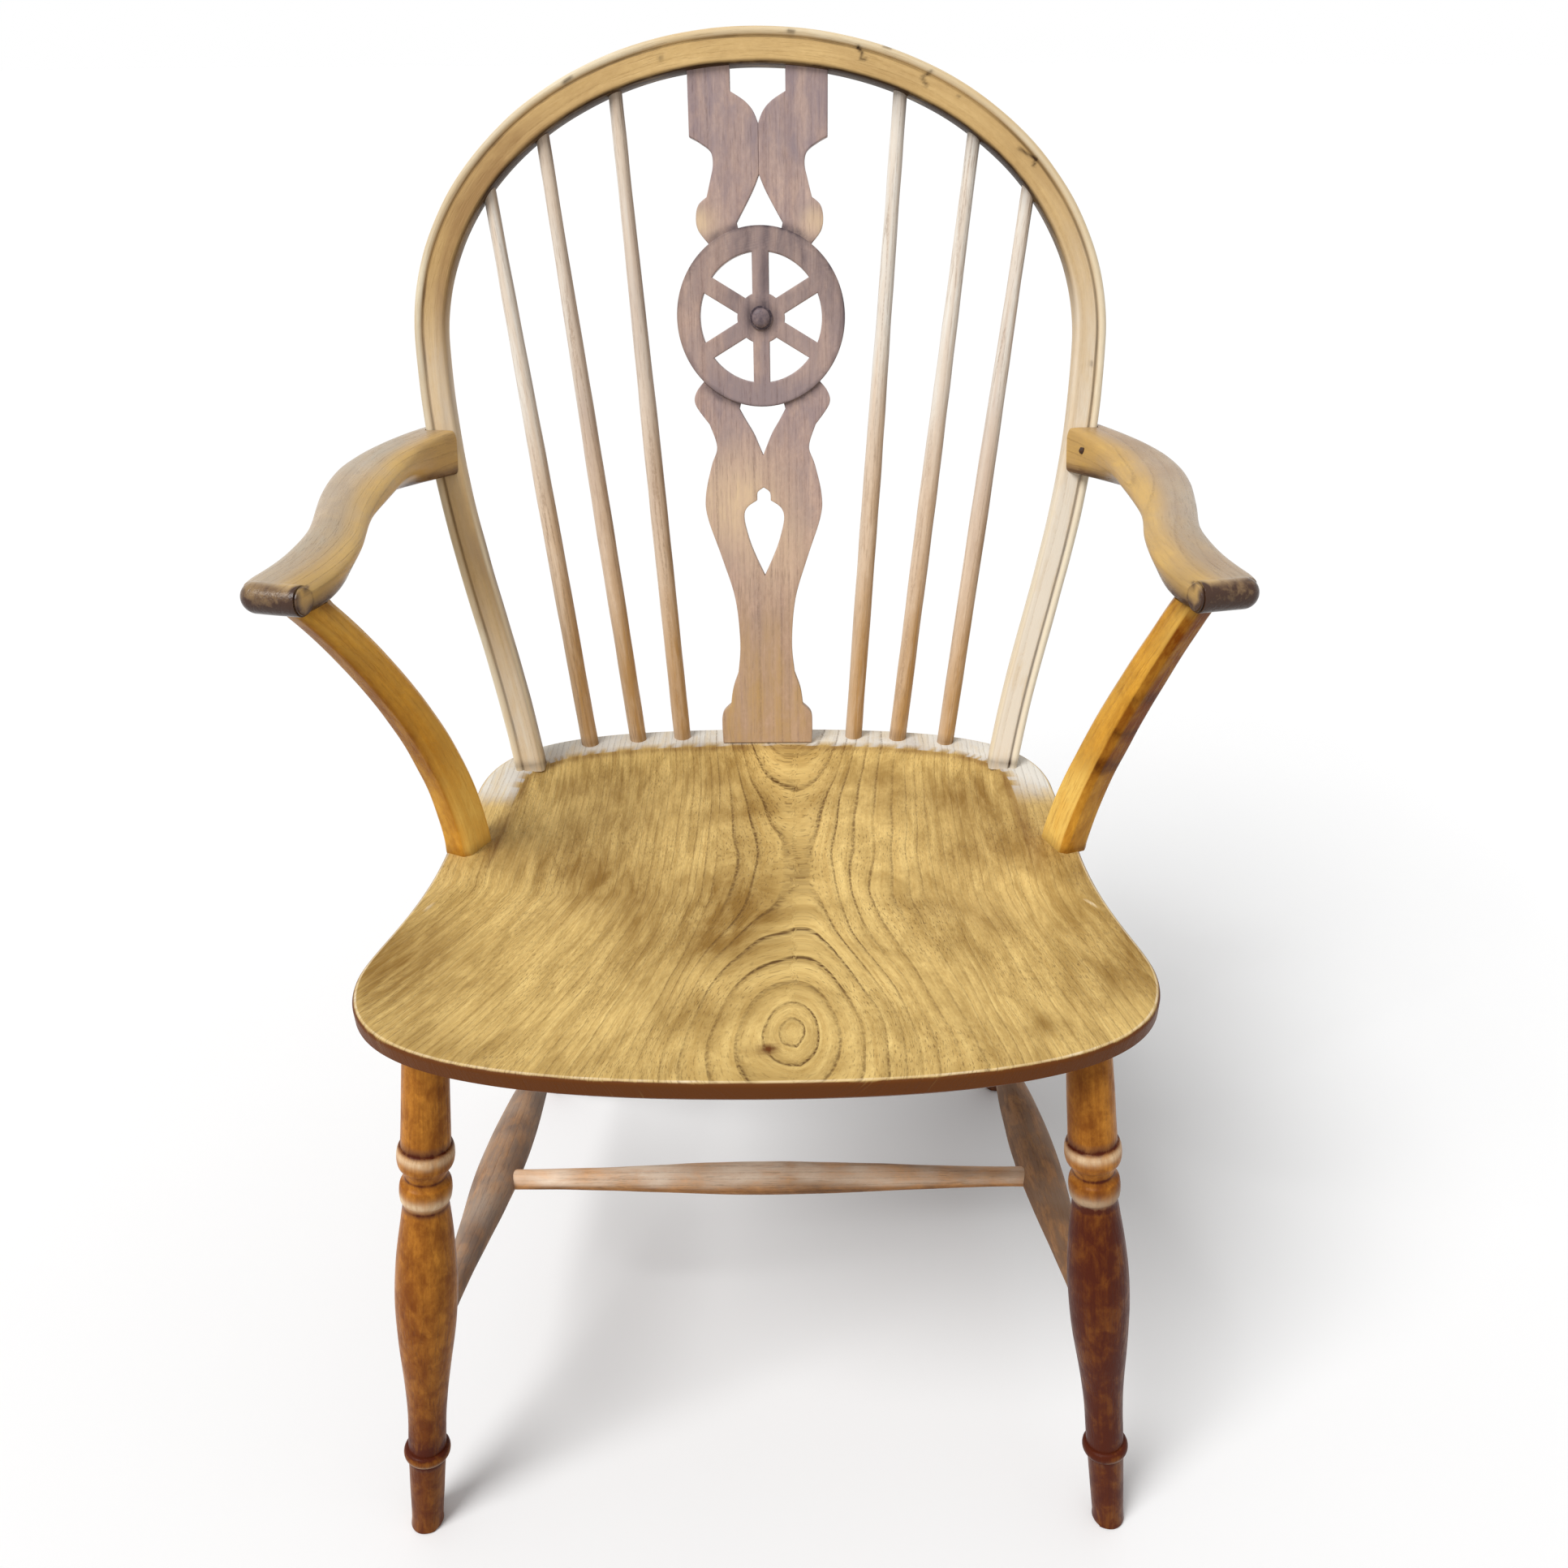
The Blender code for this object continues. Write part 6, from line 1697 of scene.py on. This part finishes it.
def make_leg(name, side, top, foot, gloom):
    floor, head = leg_ends(side, top, foot)
    axis = (head - floor).normalized()
    obj = build(f"turned_{name}", [lathe(floor, head, leg_profile((head - floor).length))])
    trim(obj, 0.0, LEG_FOOT_ROUND)

    def marks(co, normal, place):
        along = (co - floor).dot(axis)
        # Pale bands on the turnings: rubbed wear and a painted highlight
        rubbed = sum(strength * hump(along, middle, long) for middle, long, strength in LEG_RUBBED_AND_HIGHLIT)
        groove = sum(hump(along, middle, long) for middle, long in LEG_GROOVES)
        low = 1 - rise(along, 0.03, 0.24)
        uneven = patchy(co, (50, 50, 22), side)
        # Darkened below the bead, on the right front leg partly as painted shade
        below = gloom * ease((LEG_BEAD[0] - along) / 0.06) * (0.7 + 0.3 * rise(along, 0.03, 0.09))
        shade = 0.55 * low + below + 0.3 * uneven
        stain = groove + 0.55 * low**2 * (1 - gloom) + 1.35 * below
        return rubbed * (0.75 + 0.6 * patchy(co, 60)), 0.0, min(shade, 1.0), min(stain, 1.4)

    grain = grain_on_line(floor, head, (0.4 + side * 0.8 + foot.y * 3, 0.004 * side, 0.006))
    finish(obj, name, RED_BROWN, grain, marks, LEG_WOBBLE)


def on_leg(side, top, foot, height):
    floor, head = leg_ends(side, top, foot)
    return floor + (head - floor) * (height / head.z)


def swelled(length, end_radius, radius, plain, steps=48):
    """A stretcher's profile: straight ends that enter the sockets, swelling to the middle."""
    profile = [(0, end_radius)]
    for i in range(steps + 1):
        share = i / steps
        swell = math.sin(math.pi * share) ** 2
        profile.append((plain + (length - 2 * plain) * share, end_radius + (radius - end_radius) * swell))
    return profile + [(length, end_radius)]


# How dark and how grimy each side stretcher is
SIDE_DIRT = {LEFT: (0.55, 0.45), RIGHT: (0.9, 0.15)}
CROSS_SHIFT = 4.2
CROSS_STREAKS = 0.75
STRETCHER_SIDES = 40
STRETCHER_WOBBLE = 0.0004


def make_stretcher(name, start, end, profile, shift, gloom, grime, streaks=0.0):
    obj = build(f"turned_{name}", [lathe(start, end, profile, STRETCHER_SIDES)])

    def marks(co, normal, place):
        top = rise(normal.z, -0.25, 0.8)
        uneven = 0.25 + 0.9 * patchy(co, (30, 30, 60), shift)
        # Undersides are darkened as painted shade
        shade = 0.35 * ease(-normal.z) + 0.35 * patchy(co, 30, 7.0) ** 2 + gloom
        pale = 0.35 * patchy(co, 70, 2.0) * top
        bare = streaks * rise(co.x, -0.02, 0.06) * patchy(co, (9, 90, 110), 3.0)
        # The cross stretcher's lower half is darkened further as painted shade
        shade += bare + streaks * 0.25 * (1 - top)
        clean = (1 - gloom) * (1 - min(bare, 0.9))
        return pale * clean, top * uneven * clean, min(shade, 1.0), grime

    grain = grain_on_line(start, end, (shift, 0.003, 0.005))
    finish(obj, name, DUSTY_AND_BRIGHTENED, grain, marks, STRETCHER_WOBBLE)


def make_legs():
    lines = {}
    for side, word in SIDES:
        make_leg(f"leg_front_{word}", side, FRONT_LEG_TOP, FRONT_LEG_FOOT, FRONT_GLOOM[side])
        make_leg(f"leg_back_{word}", side, BACK_LEG_TOP, BACK_LEG_FOOT, BACK_GLOOM)
        start = on_leg(side, FRONT_LEG_TOP, FRONT_LEG_FOOT, SIDE_FRONT_HEIGHT)
        end = on_leg(side, BACK_LEG_TOP, BACK_LEG_FOOT, SIDE_BACK_HEIGHT)
        aim = (end - start).normalized()
        start, end = start + aim * SIDE_STOP, end - aim * SIDE_STOP
        profile = swelled((end - start).length, SIDE_END_R, SIDE_R, LEG_VASE[1] + SIDE_END_R / 2)
        make_stretcher(f"side_stretcher_{word}", start, end, profile, 1.5 + side, *SIDE_DIRT[side])
        lines[side] = start, end
    ends = []
    for side, _ in SIDES:
        start, end = lines[side]
        share = (CROSS_Y - start.y) / (end.y - start.y)
        ends.append(start + (end - start) * share - Vector((side * CROSS_STOP, 0, 0)))
    profile = swelled((ends[1] - ends[0]).length, CROSS_END_R, CROSS_R, SIDE_R)
    make_stretcher("cross_stretcher", *ends, profile, CROSS_SHIFT, 0.0, 0.0, CROSS_STREAKS)


# Floor, light and camera

FLOOR_RADII = (0.02, 0.3, 0.7, 1.5, 4.0, 12.0, 60.0)
FLOOR_SIDES = 64
FLOOR_GAP = 0.0004
FLOOR_SHADE = (0.50, 0.50, 0.50)
FLOOR_WHITES = ((0.955, 0.955, 0.955), (0.975, 0.975, 0.975))


def make_floor():
    turns = [2 * math.pi * i / FLOOR_SIDES for i in range(FLOOR_SIDES)]
    verts = [(r * math.cos(t), r * math.sin(t), -FLOOR_GAP) for r in FLOOR_RADII for t in turns]
    faces = [tuple(range(FLOOR_SIDES))]
    for base in range(0, len(verts) - FLOOR_SIDES, FLOOR_SIDES):
        for i in range(FLOOR_SIDES):
            j = (i + 1) % FLOOR_SIDES
            faces.append((base + i, base + FLOOR_SIDES + i, base + FLOOR_SIDES + j, base + j))
    mesh = bpy.data.meshes.new("floor")
    mesh.from_pydata(verts, [], faces)
    floor = add("floor", mesh)
    tree = Tree(bpy.data.materials.new("pale_floor"))
    place = tree.put("ShaderNodeTexCoord", {}).outputs["Object"]
    uneven = tree.noise(tree.scaled(place, (3.0, 3.0, 3.0)), 4.0)
    white = tree.mix(uneven, *map(rgb, FLOOR_WHITES))
    tree.feed(tree.shader.inputs["Base Color"], tree.mix(tree.seen(), rgb(FLOOR_SHADE), white))
    tree.shader.inputs["Roughness"].default_value = 0.9
    tree.shader.inputs["Specular IOR Level"].default_value = 0.1
    mesh.materials.append(tree.owner)


SUN_AIM = Vector((0.58, 0.56, -1.0))
SUN_STRENGTH = 2.25
SUN_ANGLE = math.radians(30)
SKY = 0.50


def make_light():
    lamp = bpy.data.lights.new("soft_key", "SUN")
    lamp.energy = SUN_STRENGTH
    lamp.angle = SUN_ANGLE
    add("soft_key", lamp).rotation_euler = SUN_AIM.to_track_quat("-Z", "Y").to_euler()

    world = bpy.data.worlds.new("studio")
    bpy.context.scene.world = world
    tree = Tree(world)
    tree.tree.nodes.clear()
    level = tree.put("ShaderNodeMapRange", {"Value": tree.seen(), "To Min": SKY, "To Max": 1.0})
    shade = tree.put("ShaderNodeBackground", {"Color": (1, 1, 1, 1), "Strength": level.outputs["Result"]})
    tree.put("ShaderNodeOutputWorld", {"Surface": shade.outputs[0]})


# The camera that took the photo, fitted to it: the focal length and the middle are in its pixels
IMAGE = 1932
SENSOR = 36
CAMERA_REACH = 200
CAMERA_PLACE = Vector((0.0285, -0.5367, 0.9274))
CAMERA_PITCH = math.radians(32.1293)
CAMERA_YAW = math.radians(0.2153)
CAMERA_ROLL = math.radians(-0.1816)
CAMERA_FOCAL = 1597.71
CAMERA_MIDDLE = (994.70, 1048.66)


def make_camera():
    camera = bpy.data.cameras.new("camera")
    camera.sensor_width = SENSOR
    camera.lens = SENSOR * CAMERA_FOCAL / IMAGE
    camera.shift_x = (IMAGE / 2 - CAMERA_MIDDLE[0]) / IMAGE
    camera.shift_y = (CAMERA_MIDDLE[1] - IMAGE / 2) / IMAGE
    camera.clip_end = CAMERA_REACH
    level = math.cos(CAMERA_PITCH)
    ahead = Vector((math.sin(CAMERA_YAW) * level, math.cos(CAMERA_YAW) * level, -math.sin(CAMERA_PITCH)))
    right = Vector((math.cos(CAMERA_YAW), -math.sin(CAMERA_YAW), 0))
    top = right.cross(ahead)
    turned_right = right * math.cos(CAMERA_ROLL) + top * math.sin(CAMERA_ROLL)
    turned_top = top * math.cos(CAMERA_ROLL) - right * math.sin(CAMERA_ROLL)
    obj = add("camera", camera)
    turn = Matrix((turned_right, turned_top, -ahead)).transposed()
    obj.matrix_world = Matrix.Translation(CAMERA_PLACE + ORIGIN) @ turn.to_4x4()
    bpy.context.scene.camera = obj


make_camera()
make_light()
make_floor()
make_seat()
make_bow()
make_sticks()
make_splat()
for side, word in SIDES:
    make_arm(side, word)
    make_post(side, word)
make_nail()
make_legs()
bpy.context.scene.view_settings.view_transform = "Standard"
